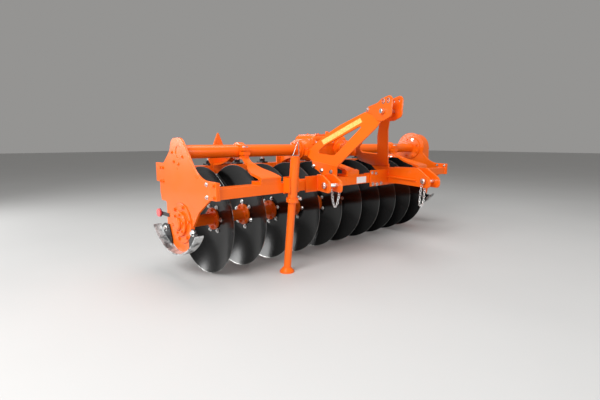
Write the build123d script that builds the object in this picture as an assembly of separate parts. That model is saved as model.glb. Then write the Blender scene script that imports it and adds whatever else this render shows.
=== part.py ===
from build123d import *
import math
import os

# Powered disc harrow on a three point mast, parked on its discs and one stand.
# Working frame while building: X along the disc gang from the outer face of the
# left side plate, Y towards the rear from the rotor axis, Z up from the ground.
# The last step moves the origin to the middle of the bounding box on the ground.

# Driving dimensions, millimetres
DISC_R, DISC_DEPTH, DISC_T, DISC_BEVEL, DISC_FLAT_R = 305.0, 70.0, 5.0, 12.0, 92.0
DISC_COUNT = 10
GANG_W = 2353.0
FIRST_RIM_X, LAST_RIM_GAP = 133.0, 299.4
PLATE_T = 12.0
SHAFT_R, SPOOL_R, SPOOL_FLANGE_R, SPOOL_FLANGE_T, SPOOL_END_R = 20.0, 33.0, 64.0, 12.0, 40.0
TUBE_R, TUBE_WALL, TUBE_FLANGE_R, TUBE_FLANGE_T = 38.0, 6.0, 60.0, 16.0
TUBE_Y, TUBE_OVER_DISC = 10.0, 82.0
BEAM_DEPTH, BEAM_HEIGHT, BEAM_WALL, BEAM_BEHIND_RIM, BEAM_GAP = 78.0, 55.0, 6.0, 33.0, 24.0
REAR_Y0, REAR_DEPTH, REAR_HEIGHT, REAR_WALL, REAR_GAP = 200.0, 60.0, 50.0, 5.0, 15.0
BOX_W, BOX_GAP, BOX_ROUND = 522.0, 9.0, 34.0
SKEW = 22.5
HITCH_X, HITCH_AHEAD, HITCH_OVER_BEAM = 1005.0, 267.0, 33.0
PIN_R, PIN_HEAD_R, PIN_HOLE_R = 11.0, 18.0, 11.2
CLEVIS_IN, CLEVIS_OUT, CLEVIS_T = 300.0, 384.0, 12.0
TOP_PIN_OVER, TOP_HOLE_OVER, TOP_PIN_R, TOP_HOLE_R = 422.0, 478.0, 9.5, 10.0
TOP_PIN_A, TOP_HOLE_A = 34.0, (30.0, 80.0)
TOP_IN, MAST_T = 30.0, 10.0
SPLINE_R, SPLINE_ROOT_R = 17.5, 14.5
CLAMP_HALF, CLAMP_R, CLAMP_SPLIT = 18.0, 52.0, 4.0
LEFT_FACE, RIGHT_FACE, FACE_T = (-405.0, -215.0), (220.0, 555.0), 10.0
DECK_BEHIND_PIN, DECK_SIDE, DECK_T = 84.0, 14.0, 8.0
ARM_BESIDE_STAND, ARM_OFF_MIDDLE, FOOT_SHIFT, FOOT_RISE = 75.0, 36.5, -45.0, 36.0
STAND_BESIDE_HITCH, STAND_AHEAD, STAND_TOP = 535.0, 58.0, 197.0
STAND_LEAN, STAND_R, STAND_WALL, SLEEVE_WALL, SLEEVE_L = 6.3, 21.5, 4.0, 4.0, 250.0
CASE_R, CASE_T, CASE_COVER_T, CASE_BOSS_T = 128.0, 105.0, 10.0, 14.0
SKID_R, SKID_Y, SKID_W, SKID_T, SKID_DROP = 308.0, 25.0, 48.0, 8.0, 172.0
GUSSET_T = 8.0
CLEARANCE = 0.5

# Places that follow from them
DISC_PITCH = (GANG_W - FIRST_RIM_X - LAST_RIM_GAP) / (DISC_COUNT - 1)
AXIS_Z = DISC_R
DISC_TOP = AXIS_Z + DISC_R
RIGHT_X0 = GANG_W - PLATE_T
TUBE_Z = DISC_TOP + TUBE_OVER_DISC


def disc_top(y):
    """Height of the discs' rims over a place y."""
    return AXIS_Z + math.sqrt(max(DISC_R ** 2 - y ** 2, 0.0))


BEAM_Y1 = -(DISC_R - BEAM_BEHIND_RIM)
BEAM_Y0 = BEAM_Y1 - BEAM_DEPTH
BEAM_Z0 = disc_top(BEAM_Y1) + BEAM_GAP
BEAM_Z1 = BEAM_Z0 + BEAM_HEIGHT
REAR_Y1 = REAR_Y0 + REAR_DEPTH
REAR_Z0 = disc_top(REAR_Y0) + REAR_GAP
REAR_Z1 = REAR_Z0 + REAR_HEIGHT
HITCH_Y = BEAM_Y0 - HITCH_AHEAD
HITCH_Z = BEAM_Z0 + HITCH_OVER_BEAM
TOP_PIN_Z, TOP_HOLE_Z = HITCH_Z + TOP_PIN_OVER, HITCH_Z + TOP_HOLE_OVER
TOP_OUT = TOP_IN + MAST_T
BOX_X0 = HITCH_X - 137.0
BOX_X1 = BOX_X0 + BOX_W
BOX_Y0, BOX_Y1 = TUBE_Y - 70.0, TUBE_Y + 130.0
BOX_Z0, BOX_Z1 = DISC_TOP + BOX_GAP, TUBE_Z + 98.0
STAND_X = HITCH_X - STAND_BESIDE_HITCH
ARM_X = (STAND_X - ARM_BESIDE_STAND, (HITCH_X + RIGHT_FACE[1] + RIGHT_X0) / 2 + ARM_OFF_MIDDLE)
BEYOND = 4 * GANG_W

OUT = {}


def keep(name, *solids):
    """Files the solids of one named sub-part."""
    OUT[name] = [s for piece in solids for s in piece.solids()]


def block(x0, x1, y0, y1, z0, z1):
    return Pos((x0 + x1) / 2, (y0 + y1) / 2, (z0 + z1) / 2) * Box(x1 - x0, y1 - y0, z1 - z0)


def rod_x(x0, x1, y, z, r):
    return Pos((x0 + x1) / 2, y, z) * Rot(0, 90, 0) * Cylinder(r, x1 - x0)


def ring_x(x0, x1, y, z, r_out, r_in):
    return rod_x(x0, x1, y, z, r_out) - rod_x(x0 - 1, x1 + 1, y, z, r_in)


def rounded(corners):
    """Face inside corners given as (across, up, radius), each rounded by its radius where its sides allow."""
    count = len(corners)
    points = [Vector(c[0], c[1]) for c in corners]
    halves, reach = [], []
    for i in range(count):
        before, after = points[i - 1] - points[i], points[(i + 1) % count] - points[i]
        halves.append(math.radians(before.get_angle(after)) / 2)
        reach.append(corners[i][2] / math.tan(halves[i]))
    sides = [(points[(i + 1) % count] - points[i]).length for i in range(count)]
    share = [min(1.0, 0.99 * sides[i] / max(reach[i] + reach[(i + 1) % count], 1e-9)) for i in range(count)]
    arcs = []
    for i in range(count):
        before = (points[i - 1] - points[i]).normalized()
        after = (points[(i + 1) % count] - points[i]).normalized()
        t = reach[i] * min(share[i - 1], share[i])
        if t < 0.05:
            arcs.append((points[i], points[i], points[i], False))
            continue
        inward = (before + after).normalized() * (t / math.cos(halves[i]) - t * math.tan(halves[i]))
        arcs.append((points[i] + before * t, points[i] + inward, points[i] + after * t, True))
    edges = []
    for i in range(count):
        start, middle, end, curved = arcs[i]
        if curved:
            edges.append(ThreePointArc(start, middle, end))
        edges.append(Line(end, arcs[(i + 1) % count][0]))
    return make_face(Wire(edges))


def prism_yz(points, x0, x1):
    """Extrudes an outline in Y and Z, of (y, z) or of (y, z, radius), from x0 to x1."""
    plane = Plane(origin=(x0, 0, 0), x_dir=(0, 1, 0), z_dir=(1, 0, 0))
    return extrude(plane * rounded([(*p, 0.0)[:3] for p in points]), x1 - x0)


def prism_xz(points, y0, y1):
    """Extrudes an outline in X and Z from y0 to y1."""
    plane = Plane(origin=(0, y1, 0), x_dir=(1, 0, 0), z_dir=(0, -1, 0))
    return extrude(plane * rounded([(*p, 0.0)[:3] for p in points]), y1 - y0)


def lathe(outline, y, z):
    """Turns an outline of (x, radius) round a line along X."""
    plane = Plane(origin=(0, y, z), x_dir=(1, 0, 0), z_dir=(0, -1, 0))
    return revolve(plane * make_face(Polyline(*outline, close=True)), Axis((0, y, z), (1, 0, 0)))


def to_hitch(shape):
    """Places a shape drawn as (u, -a, z) in the skewed frame of the hitch."""
    return Location((HITCH_X, HITCH_Y, 0), (0, 0, -SKEW)) * shape


def prism_u(points, u0, u1):
    """Extrudes an outline given as (a, z, radius) across the hitch from u0 to u1."""
    return to_hitch(prism_yz([(-p[0], *p[1:]) for p in points], u0, u1))


def rod_u(u0, u1, a, z, r):
    return to_hitch(rod_x(u0, u1, -a, z, r))


def rod_t(a0, a1, z, r):
    """Rod along the hitch's own forward direction."""
    return to_hitch(Pos(0, -(a0 + a1) / 2, z) * Rot(90, 0, 0) * Cylinder(r, a1 - a0))


# Side plates: a head round the tube, an arm to each beam and a round lobe at the rotor
LOBE_R, LOBE_Y, HUB_HOLE_R, HEAD_R = 148.0, 30.0, 42.0, 138.0
LOBE_Y0, LOBE_Y1, LOBE_LOW = LOBE_Y - 150, LOBE_Y + 150, AXIS_Z - 165
SIDE_OUTLINE = [
    (TUBE_Y + 88, TUBE_Z + 75, 62), (TUBE_Y - 36, TUBE_Z + 77, 58), (BEAM_Y1 + 76, BEAM_Z1 + 36, 180),
    (BEAM_Y0 - 12, BEAM_Z1 + 33, 4), (BEAM_Y0 - 12, BEAM_Z0 - 3, 4), (BEAM_Y1 - 30, BEAM_Z0 - 3, 50),
    (BEAM_Y1 + 86, AXIS_Z + 80, 60), (LOBE_Y0, AXIS_Z - 5, 20), (LOBE_Y0, LOBE_LOW, LOBE_R),
    (LOBE_Y1, LOBE_LOW, LOBE_R), (LOBE_Y1, AXIS_Z + 103, 12), (REAR_Y1 - 17, AXIS_Z + 103, 8),
    (REAR_Y1 - 3, REAR_Z0 - 90, 30), (REAR_Y1 - 6, REAR_Z0 - 33, 3), (REAR_Y1 + 40, REAR_Z0 - 33, 6),
    (REAR_Y1 + 40, REAR_Z1 + 27, 6), (REAR_Y1 - 62, REAR_Z1 + 27, 40), (TUBE_Y + 99, TUBE_Z + 10, 50),
]


def side_plate(x0):
    plate = prism_yz(SIDE_OUTLINE, x0, x0 + PLATE_T)
    plate -= rod_x(x0 - 1, x0 + PLATE_T + 1, TUBE_Y, TUBE_Z, TUBE_R)
    return plate - rod_x(x0 - 1, x0 + PLATE_T + 1, 0, AXIS_Z, HUB_HOLE_R)


keep("side_plate_left", side_plate(0.0))
keep("side_plate_right", side_plate(RIGHT_X0) + ring_x(RIGHT_X0, GANG_W, TUBE_Y, TUBE_Z, HEAD_R, TUBE_R))
keep("drive_flange", ring_x(RIGHT_X0 - 14, RIGHT_X0, TUBE_Y, TUBE_Z, HEAD_R - 38, TUBE_R))

# Main tube on both sides of the gearbox, closed by a plug at the left end
for name, xa, xb, fx, plug in (
    ("main_tube_left", 0.0, BOX_X0, BOX_X0 - TUBE_FLANGE_T, True),
    ("main_tube_right", BOX_X1, GANG_W, BOX_X1, False),
):
    bore = TUBE_R - TUBE_WALL
    tube = ring_x(xa, xb, TUBE_Y, TUBE_Z, TUBE_R, bore)
    tube += ring_x(fx, fx + TUBE_FLANGE_T, TUBE_Y, TUBE_Z, TUBE_FLANGE_R, bore)
    if plug:
        tube += rod_x(xa + 3, xa + 9, TUBE_Y, TUBE_Z, bore)
    keep(name, tube)

# Gearbox: a cast body between two bells, a split flange, ribs and a nose square to the hitch
core = block(BOX_X0 + 92, BOX_X1 - 60, BOX_Y0, BOX_Y1, BOX_Z0, BOX_Z1)
core = fillet(core.edges().filter_by(Axis.Z), BOX_ROUND)
core = fillet(core.faces().sort_by(Axis.Z)[-1].edges(), BOX_ROUND - 6)
BELL_R, BELL_END_R = TUBE_Z - BOX_Z0, 68.0
BELL = [(0, 0), (0, BELL_END_R), (14, BELL_END_R), (22, BELL_R - 14), (44, BELL_R - 3), (70, BELL_R),
        (130, BELL_R), (130, 0)]
bells = []
for x0, way in ((BOX_X0, 1), (BOX_X1, -1)):
    bells.append(lathe([(x0 + way * along, radius) for along, radius in BELL], TUBE_Y, TUBE_Z))
split = block(BOX_X0 + 84, BOX_X1 - 52, BOX_Y0 - 8, BOX_Y1 + 8, TUBE_Z + 38, TUBE_Z + 50)
split = fillet(split.edges().filter_by(Axis.Z), BOX_ROUND)
ribs = block(BOX_X0 + 132, BOX_X0 + 144, BOX_Y0 + 12, BOX_Y1 - 12, TUBE_Z, BOX_Z1 + 8)
ribs += block(BOX_X1 - 115, BOX_X1 - 103, BOX_Y0 + 12, BOX_Y1 - 12, TUBE_Z, BOX_Z1 + 8)
NOSE_Z = TUBE_Z + 8
NOSE_A = (HITCH_Y - BOX_Y0) / math.cos(math.radians(SKEW))
nose = rod_t(NOSE_A - 60, NOSE_A + 40, NOSE_Z, 62) + rod_t(NOSE_A + 40, NOSE_A + 92, NOSE_Z, 44)
housing = core + bells[0] + bells[1] + split + ribs + nose
keep("gearbox_housing", housing - rod_t(NOSE_A - 30, NOSE_A + 100, NOSE_Z, SPLINE_R + CLEARANCE))
lid = block(BOX_X0 + 162, BOX_X1 - 132, BOX_Y0 + 34, BOX_Y1 - 34, BOX_Z1, BOX_Z1 + 10)
lid = fillet(lid.edges().filter_by(Axis.Z), 24)
breather = Pos(BOX_X1 - 160, TUBE_Y + 50, BOX_Z1 + 21) * Cylinder(13, 26)
keep("gearbox_cover", lid + breather)

# Input shaft with six splines
SPLINE_A0, SPLINE_A1 = NOSE_A + 100, NOSE_A + 178
shaft = rod_t(NOSE_A - 20, SPLINE_A0, NOSE_Z, SPLINE_R) + rod_t(SPLINE_A0, SPLINE_A1, NOSE_Z, SPLINE_ROOT_R)
for k in range(6):
    tooth = Pos(0, 0, SPLINE_R - 2) * Box(8.0, SPLINE_A1 - SPLINE_A0, 4.0)
    shaft += to_hitch(Pos(0, -(SPLINE_A0 + SPLINE_A1) / 2, NOSE_Z) * Rot(0, 60 * k, 0) * tooth)
keep("pto_input_shaft", shaft)

# Front and rear beams, hollow between solid ends, each welded to a flange that bolts to its side plate
FLANGE_T, SOLID_END = 10.0, 20.0
FRONT_FLANGE = (BEAM_Y0 - 12, BEAM_Y1 + 40, BEAM_Z0 - 3, BEAM_Z1 + 30)
REAR_FLANGE = (REAR_Y0 - 10, REAR_Y1 - 13, REAR_Z0 - 33, REAR_Z1 + 10)
for name, y0, y1, z0, z1, wall, flange in (
    ("front_beam", BEAM_Y0, BEAM_Y1, BEAM_Z0, BEAM_Z1, BEAM_WALL, FRONT_FLANGE),
    ("rear_beam", REAR_Y0, REAR_Y1, REAR_Z0, REAR_Z1, REAR_WALL, REAR_FLANGE),
):
    xa, xb = PLATE_T + FLANGE_T, RIGHT_X0 - FLANGE_T
    beam = block(xa, xb, y0, y1, z0, z1)
    beam -= block(xa + SOLID_END, xb - SOLID_END, y0 + wall, y1 - wall, z0 + wall, z1 - wall)
    keep(name, beam)
    keep(name + "_flanges", block(PLATE_T, xa, *flange), block(xb, RIGHT_X0, *flange))


def strap(points, half, t):
    """Flat strap that follows a line of points in Y and Z."""
    up, down = [], []
    for i, (y, z) in enumerate(points):
        a, b = points[max(i - 1, 0)], points[min(i + 1, len(points) - 1)]
        length = math.hypot(b[0] - a[0], b[1] - a[1])
        ny, nz = (a[1] - b[1]) / length * t / 2, (b[0] - a[0]) / length * t / 2
        up.append((y + ny, z + nz))
        down.append((y - ny, z - nz))
    return prism_yz(up + down[::-1], -half, half)


def plan(points):
    """Tall prism over an outline in X and Y."""
    return extrude(make_face(Polyline(*points, close=True)), 3 * DISC_TOP)


# Tube clamps, each with a strap over the discs to the front beam and one to the rear beam
BEND_Y = -147.0
OVER_BEAM = [(BEAM_Y1 - 40, BEAM_Z1 + 41), (BEAM_Y0 - 2, BEAM_Z1 + 26)]
ARM_CENTRE = [(TUBE_Y - 54, TUBE_Z - 36), (TUBE_Y - 94, TUBE_Z - 68), (BEND_Y, disc_top(BEND_Y) + 31),
              *OVER_BEAM]
REAR_CENTRE = [(TUBE_Y + 50, TUBE_Z - 32), (TUBE_Y + 86, TUBE_Z - 62), (REAR_Y0 - 60, REAR_Z1 + 12),
               (REAR_Y0 - 19, REAR_Z1 + 6)]
STRAP_HALF, FOOT_X0, FOOT_X1 = 130.0, FOOT_SHIFT - 72, FOOT_SHIFT + 66
ARM_PLAN = [
    (-18, -20), (20, -20), (18, -120), (FOOT_X1 - 10, -200), (FOOT_X1, BEAM_Y1 + 10), (FOOT_X1, BEAM_Y0 - 20),
    (FOOT_X0, BEAM_Y0 - 20), (FOOT_X0, BEAM_Y1 + 10), (FOOT_X0 + 24, -200), (-32, -110),
]
REAR_SHIFT = -29.0
REAR_PLAN = [(-18, 30), (20, 30), (10, 90), (REAR_SHIFT + 58, REAR_Y0), (REAR_SHIFT - 58, REAR_Y0),
             (-40, 100)]


def clamp_half(upper):
    """One half of a split tube clamp with its two bolt ears."""
    gap = CLAMP_SPLIT / 2
    z0, z1 = (TUBE_Z + gap, TUBE_Z + gap + 20) if upper else (TUBE_Z - gap - 22, TUBE_Z - gap)
    half = ring_x(-CLAMP_HALF, CLAMP_HALF, TUBE_Y, TUBE_Z, CLAMP_R, TUBE_R)
    for y0, y1 in ((TUBE_Y - CLAMP_R - 26, TUBE_Y - 30), (TUBE_Y + 30, TUBE_Y + CLAMP_R + 26)):
        half += block(-CLAMP_HALF - 6, CLAMP_HALF + 6, y0, y1, z0, z1)
        if not upper:
            outer, inner = (4, 2) if y0 < 0 else (2, 4)
            half += block(-CLAMP_HALF, CLAMP_HALF, y0 + outer, y1 - inner, TUBE_Z - 48, TUBE_Z - 20)
    half -= rod_x(-CLAMP_R, CLAMP_R, TUBE_Y, TUBE_Z, TUBE_R)
    other = (TUBE_Z - 2 * CLAMP_R, TUBE_Z + gap) if upper else (TUBE_Z - gap, TUBE_Z + 2 * CLAMP_R)
    return half - block(-100, 100, TUBE_Y - 100, TUBE_Y + 100, *other)


def beam_foot(x0, x1, rib0, rib1):
    """Upright plate and seat that carry a strap on the front beam's top, with a rib under the strap."""
    seat = block(x0, x1, BEAM_Y0, BEAM_Y1 + 4, BEAM_Z1, BEAM_Z1 + 16)
    front = [(BEAM_Y0, BEAM_Z1), (BEAM_Y0 + 12, BEAM_Z1), (BEAM_Y0 + 12, BEAM_Z1 + 22),
             (BEAM_Y1 - 46, BEAM_Z1 + 34), (BEAM_Y1 - 58, BEAM_Z1 + FOOT_RISE + 8),
             (BEAM_Y0, BEAM_Z1 + FOOT_RISE)]
    rib = [(BEAM_Y1 - 46, BEAM_Z1 + 8), (BEAM_Y1 - 10, BEAM_Z1 + 8), (BEAM_Y1 - 10, BEAM_Z1 + 48),
           (BEAM_Y1 - 46, BEAM_Z1 + 40)]
    return seat + prism_yz(front, x0, x1) + prism_yz(rib, rib0, rib1)


arms, caps = [], []
for cx in ARM_X:
    low = clamp_half(False)
    low += strap(ARM_CENTRE, STRAP_HALF, 14) & plan(ARM_PLAN)
    low += strap(REAR_CENTRE, STRAP_HALF, 12) & plan(REAR_PLAN)
    arms.append(Pos(cx, 0, 0) * (low + beam_foot(FOOT_X0, FOOT_X1, FOOT_SHIFT - 40, FOOT_SHIFT + 36)))
    caps.append(Pos(cx, 0, 0) * clamp_half(True))
keep("clamp_arms", *arms)
keep("clamp_caps", *caps)

# Hanger plates between the straps and the rear beam: the left one runs up to a point behind the tube
HANGER_T, HANGER_LOW = 12.0, REAR_Z0 - 4


SHOULDER_Z = REAR_Z1 - 15
POINTED = [(30, HANGER_LOW), (74, REAR_Z1 + 40), (64, REAR_Z1 + 62), (40, TUBE_Z + 26), (0, TUBE_Z + 116)]
PLAIN = [(8, HANGER_LOW), (62, SHOULDER_Z), (62, REAR_Z1 + 68)]


def hanger(x, half):
    """Plate on the rear beam's front, half its outline given and mirrored."""
    mirrored = [(-dx, z) for dx, z in reversed(half) if dx > 0]
    return prism_xz([(x + dx, z, 4) for dx, z in half + mirrored], REAR_Y0 - HANGER_T, REAR_Y0)


TIE_X = (BOX_X0 + 12, BOX_X0 + 57)
keep("rear_hangers", hanger(ARM_X[0] + REAR_SHIFT - 3, POINTED), hanger(ARM_X[1] + REAR_SHIFT, PLAIN),
     hanger(BOX_X0 + 37, PLAIN))
tie = [(TUBE_Y + 50, BOX_Z0 + 21, 0), (TUBE_Y + 50, TUBE_Z + 48, 0), (TUBE_Y + 100, TUBE_Z + 23, 20),
       (REAR_Y0 - HANGER_T, REAR_Z1 + 50, 0), (REAR_Y0 - HANGER_T, REAR_Z1, 0),
       (TUBE_Y + 120, REAR_Z1 + 25, 20)]
keep("gearbox_ties", *[prism_yz(tie, x, x + 12) - housing for x in TIE_X])

# Saddle from the gearbox to the front beam
SADDLE_X, SADDLE_HALF = HITCH_X + 40, 45.0
SADDLE_CENTRE = [(BOX_Y0 - 2, BOX_Z0 + 31), (BOX_Y0 - 30, BOX_Z0 + 3), (BEND_Y, disc_top(BEND_Y) + 32),
                 *OVER_BEAM]
saddle = strap(SADDLE_CENTRE, SADDLE_HALF, 14)
saddle += beam_foot(-60, 60, -36, 36)
saddle += block(-SADDLE_HALF, SADDLE_HALF, BOX_Y0 - 14, BOX_Y0, BOX_Z0 + 21, BOX_Z0 + 81)
saddle -= block(-100, 100, BOX_Y0, BOX_Y0 + 160, 0, 2 * DISC_TOP)
keep("gearbox_saddle", Pos(SADDLE_X, 0, 0) * saddle - housing)

# Lower hitch brackets: two clevis plates each, on a face plate that wraps the beam
LOW, HIGH = HITCH_Z - 42, HITCH_Z + 56
LEFT_BRACKET = [(-320, LOW, 0), (44, LOW, 26), (44, HITCH_Z + 20, 34), (-60, HIGH, 60), (-320, HIGH, 0)]
RIGHT_BRACKET = [(-560, LOW - 11, 0), (-240, LOW, 60), (46, LOW, 26), (46, HITCH_Z + 18, 34),
                 (-76, HITCH_Z + 78, 60), (-560, HITCH_Z + 60, 0)]
FACE_Y = BEAM_Y0 - FACE_T
ahead = block(-BEYOND, BEYOND, -BEYOND, FACE_Y, 0, BEYOND)


def clevis(outline, pairs):
    """Plates across the hitch, each with its pin hole, cut off at the beam's face plate."""
    plates = []
    for u0, u1 in pairs:
        plates.append((prism_u(outline, u0, u1) & ahead) - rod_u(u0 - 5, u1 + 5, 0, HITCH_Z, PIN_HOLE_R))
    return plates[0] + plates[1]


def wrap(x0, x1, z0, z1):
    """Face plate on the front of the beam with a lip over its top."""
    return block(x0, x1, FACE_Y, BEAM_Y0, z0, z1) + block(x0, x1, FACE_Y, BEAM_Y0 + 50, BEAM_Z1, BEAM_Z1 + 8)


INNER, OUTER = (CLEVIS_IN, CLEVIS_IN + CLEVIS_T), (CLEVIS_OUT - CLEVIS_T, CLEVIS_OUT)
left_bracket = clevis(LEFT_BRACKET, ((-OUTER[1], -OUTER[0]), (-INNER[1], -INNER[0])))
left_bracket += wrap(HITCH_X + LEFT_FACE[0], HITCH_X + LEFT_FACE[1], BEAM_Z0 - 12, BEAM_Z1 + 26)
keep("hitch_bracket_left", left_bracket)
right_bracket = clevis(RIGHT_BRACKET, (INNER, OUTER))
deck = block(CLEVIS_IN - DECK_SIDE, CLEVIS_OUT, DECK_BEHIND_PIN, BEYOND, HITCH_Z + 2 - DECK_T, HITCH_Z + 2)
right_bracket += to_hitch(deck) & ahead
right_bracket += wrap(HITCH_X + RIGHT_FACE[0], HITCH_X + RIGHT_FACE[1], BEAM_Z0 - 27, BEAM_Z1 + 30)
keep("hitch_bracket_right", right_bracket)
PIN_SPANS = ((-CLEVIS_OUT - 14, 8 - CLEVIS_IN), (CLEVIS_IN - 14, CLEVIS_OUT + 14))
keep("lower_hitch_pins", *[rod_u(u0, u1, 0, HITCH_Z, PIN_R) + rod_u(u0 - 8, u0 + 4, 0, HITCH_Z, PIN_HEAD_R)
                           for u0, u1 in PIN_SPANS])

# Mast: on each side an inclined plate with a window, a low plate on the beam, an upright top plate
LEFT_OUTER = [
    (TUBE_Y - 76, TUBE_Z - 40, 8), (TUBE_Y - 74, TUBE_Z - 2, 25), (TUBE_Y - 192, TUBE_Z + 100, 80),
    (TUBE_Y - 297, TUBE_Z + 162, 150), (HITCH_Y + 157, TOP_PIN_Z + 7, 5), (HITCH_Y + 16, TOP_PIN_Z - 44, 10),
    (HITCH_Y + 47, TOP_PIN_Z - 94, 30), (HITCH_Y + 186, HITCH_Z + 179, 60), (BEAM_Y0 - 7, BEAM_Z1 + 69, 5),
    (TUBE_Y - 153, TUBE_Z - 74, 20),
]
LEFT_WINDOW = [
    (TUBE_Y - 156, TUBE_Z - 17, 15), (TUBE_Y - 215, TUBE_Z + 34, 50), (HITCH_Y + 132, TOP_PIN_Z - 61, 9.5),
    (BEAM_Y0 + 39, BEAM_Z1 + 138, 40),
]
RIGHT_OUTER = [
    (HITCH_Y - 1, TOP_PIN_Z - 23, 10), (HITCH_Y + 78, TOP_PIN_Z - 102, 60),
    (HITCH_Y + 175, HITCH_Z + 191, 60), (BEAM_Y0 - 8, BEAM_Z1 + 59, 5),
    (TUBE_Y - 210, TUBE_Z - 114, 100), (TUBE_Y - 90, TUBE_Z - 80, 8),
    (TUBE_Y - 88, TUBE_Z - 42, 20), (TUBE_Y - 130, TUBE_Z + 4, 60), (TUBE_Y - 230, TUBE_Z + 86, 100),
    (TUBE_Y - 380, TUBE_Z + 171, 150), (HITCH_Y + 110, TOP_PIN_Z - 5, 10),
]
RIGHT_WINDOW = [
    (HITCH_Y + 102, TOP_PIN_Z - 44, 8), (HITCH_Y + 194, HITCH_Z + 291, 80), (BEAM_Y0 + 28, BEAM_Z1 + 144, 25),
    (TUBE_Y - 173, TUBE_Z - 16, 15), (TUBE_Y - 181, TUBE_Z + 17, 20), (TUBE_Y - 313, TUBE_Z + 94, 150),
]
LEFT_PLANE = [(HITCH_X - 103, TUBE_Y - 60, TUBE_Z - 14), (HITCH_X - 136, BEAM_Y0 - 1, BEAM_Z1 + 72),
              (HITCH_X + 4, HITCH_Y + 150, TOP_PIN_Z + 6)]
RIGHT_PLANE = [(BOX_X1 + 57, BEAM_Y0 - 2, BEAM_Z1 + 51), (BOX_X1 + 80, TUBE_Y - 100, TUBE_Z - 92),
               (HITCH_X + 59, HITCH_Y + 51, TOP_PIN_Z - 22)]
TOP_OUTLINE = [
    (-165, TOP_PIN_Z + 3, 16), (-160, TOP_PIN_Z + 35, 14), (-31, TOP_PIN_Z + 53, 60), (8, TOP_PIN_Z + 72, 40),
    (88, TOP_PIN_Z + 84, 22), (112, TOP_PIN_Z + 64, 22), (105, TOP_PIN_Z - 33, 24), (31, TOP_PIN_Z - 54, 20),
    (-8, TOP_PIN_Z - 54, 10),
]


def inclined(outline, window, places, side):
    """Plate in the plane of three places, its outlines given in Y and Z, thickened away from side."""
    origin, pb, pc = (Vector(*p) for p in places)
    normal = (pb - origin).cross(pc - origin).normalized()
    if normal.X * side < 0:
        normal = normal * -1
    plane = Plane(origin=origin, x_dir=(pb - origin).normalized(), z_dir=normal)

    def flat(corners):
        out = []
        for y, z, r in corners:
            x = origin.X - (normal.Y * (y - origin.Y) + normal.Z * (z - origin.Z)) / normal.X
            p = plane.to_local_coords(Vector(x, y, z))
            out.append((p.X, p.Y, r))
        return rounded(out)

    return extrude(plane * (flat(outline) - flat(window)), MAST_T)


left_low = prism_yz([(BEAM_Y0 - 8, BEAM_Z1), (BEAM_Y1 + 10, BEAM_Z1), (TUBE_Y - 160, TUBE_Z - 107),
                     (TUBE_Y - 153, TUBE_Z - 70), (BEAM_Y0 - 7, BEAM_Z1 + 74)], HITCH_X - 139, HITCH_X - 129)
RIGHT_BASE = [(0, BEAM_Z1), (98, BEAM_Z1), (150, BEAM_Z1 + 23), (205, BEAM_Z1 + 58), (254, BEAM_Z1 + 78),
              (254, BEAM_Z1 + 90), (0, BEAM_Z1 + 68)]
right_low = Location((BOX_X1 + 46, BEAM_Y0 - 8, 0), (0, 0, -14.3)) * prism_yz(RIGHT_BASE, 0, MAST_T)
mast = []
for side, outline, window, places, base, bracket in (
    (1, LEFT_OUTER, LEFT_WINDOW, LEFT_PLANE, left_low, left_bracket),
    (-1, RIGHT_OUTER, RIGHT_WINDOW, RIGHT_PLANE, right_low, right_bracket),
):
    slope = inclined(outline, window, places, side)
    head = prism_u(TOP_OUTLINE, *((-TOP_OUT, -TOP_IN) if side > 0 else (TOP_IN, TOP_OUT)))
    for a in TOP_HOLE_A:
        head -= rod_u(-TOP_OUT - 1, TOP_OUT + 1, a, TOP_HOLE_Z, TOP_HOLE_R)
    head -= rod_u(-TOP_OUT - 1, TOP_OUT + 1, TOP_PIN_A, TOP_PIN_Z, TOP_PIN_R + 0.1)
    mast.append((slope - bracket, head - slope, base - slope - bracket))
keep("mast_plate_left", mast[0][0])
keep("mast_plate_right", mast[1][0])
keep("mast_heads", mast[0][1], mast[1][1])
keep("mast_bases", mast[0][2], mast[1][2])
keep("mast_spacer", rod_u(-TOP_IN, TOP_IN, -142, TOP_PIN_Z + 22, 16) - mast[0][0] - mast[1][0])
left_foot = block(BOX_X0 + 16, BOX_X0 + 62, TUBE_Y - 94, TUBE_Y - 40, TUBE_Z - 37, TUBE_Z - 2)
right_foot = block(BOX_X1, BOX_X1 + 90, TUBE_Y - 94, TUBE_Y - 40, TUBE_Z - 52, TUBE_Z - 2)
keep("mast_rear_feet", left_foot - mast[0][0] - housing - OUT["main_tube_left"][0],
     right_foot - mast[1][0] - housing - OUT["main_tube_right"][0])
keep("top_link_pin", rod_u(-TOP_OUT - 16, TOP_OUT + 18, TOP_PIN_A, TOP_PIN_Z, TOP_PIN_R)
     + rod_u(-TOP_OUT - 22, -TOP_OUT - 0.5, TOP_PIN_A, TOP_PIN_Z, 15))

# Bearing housings and the side drive case
BEARING_R, BEARING_T, RUN_R = 112.0, 6.0, SHAFT_R + CLEARANCE
BACK_PLATE = [(-BEARING_T, 0), (-BEARING_T, BEARING_R - 2), (2 - BEARING_T, BEARING_R), (0, BEARING_R),
              (0, 0)]
left_bearing = lathe(BACK_PLATE, 0, AXIS_Z)
left_bearing += lathe([(-22, 0), (-22, 66), (-18, 70), (-BEARING_T, 70), (-BEARING_T, 0)], 0, AXIS_Z)
left_bearing += lathe([(-36, 0), (-36, 30), (-31, 36), (-22, 36), (-22, 0)], 0, AXIS_Z)
left_bearing += rod_x(0, PLATE_T + 6, 0, AXIS_Z, HUB_HOLE_R - CLEARANCE)
keep("bearing_housing_left", left_bearing - rod_x(-26, PLATE_T + 10, 0, AXIS_Z, RUN_R))
right_bearing = ring_x(RIGHT_X0 - 14, RIGHT_X0, 0, AXIS_Z, 70, RUN_R)
right_bearing += ring_x(RIGHT_X0, GANG_W, 0, AXIS_Z, HUB_HOLE_R - CLEARANCE, RUN_R)
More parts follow.
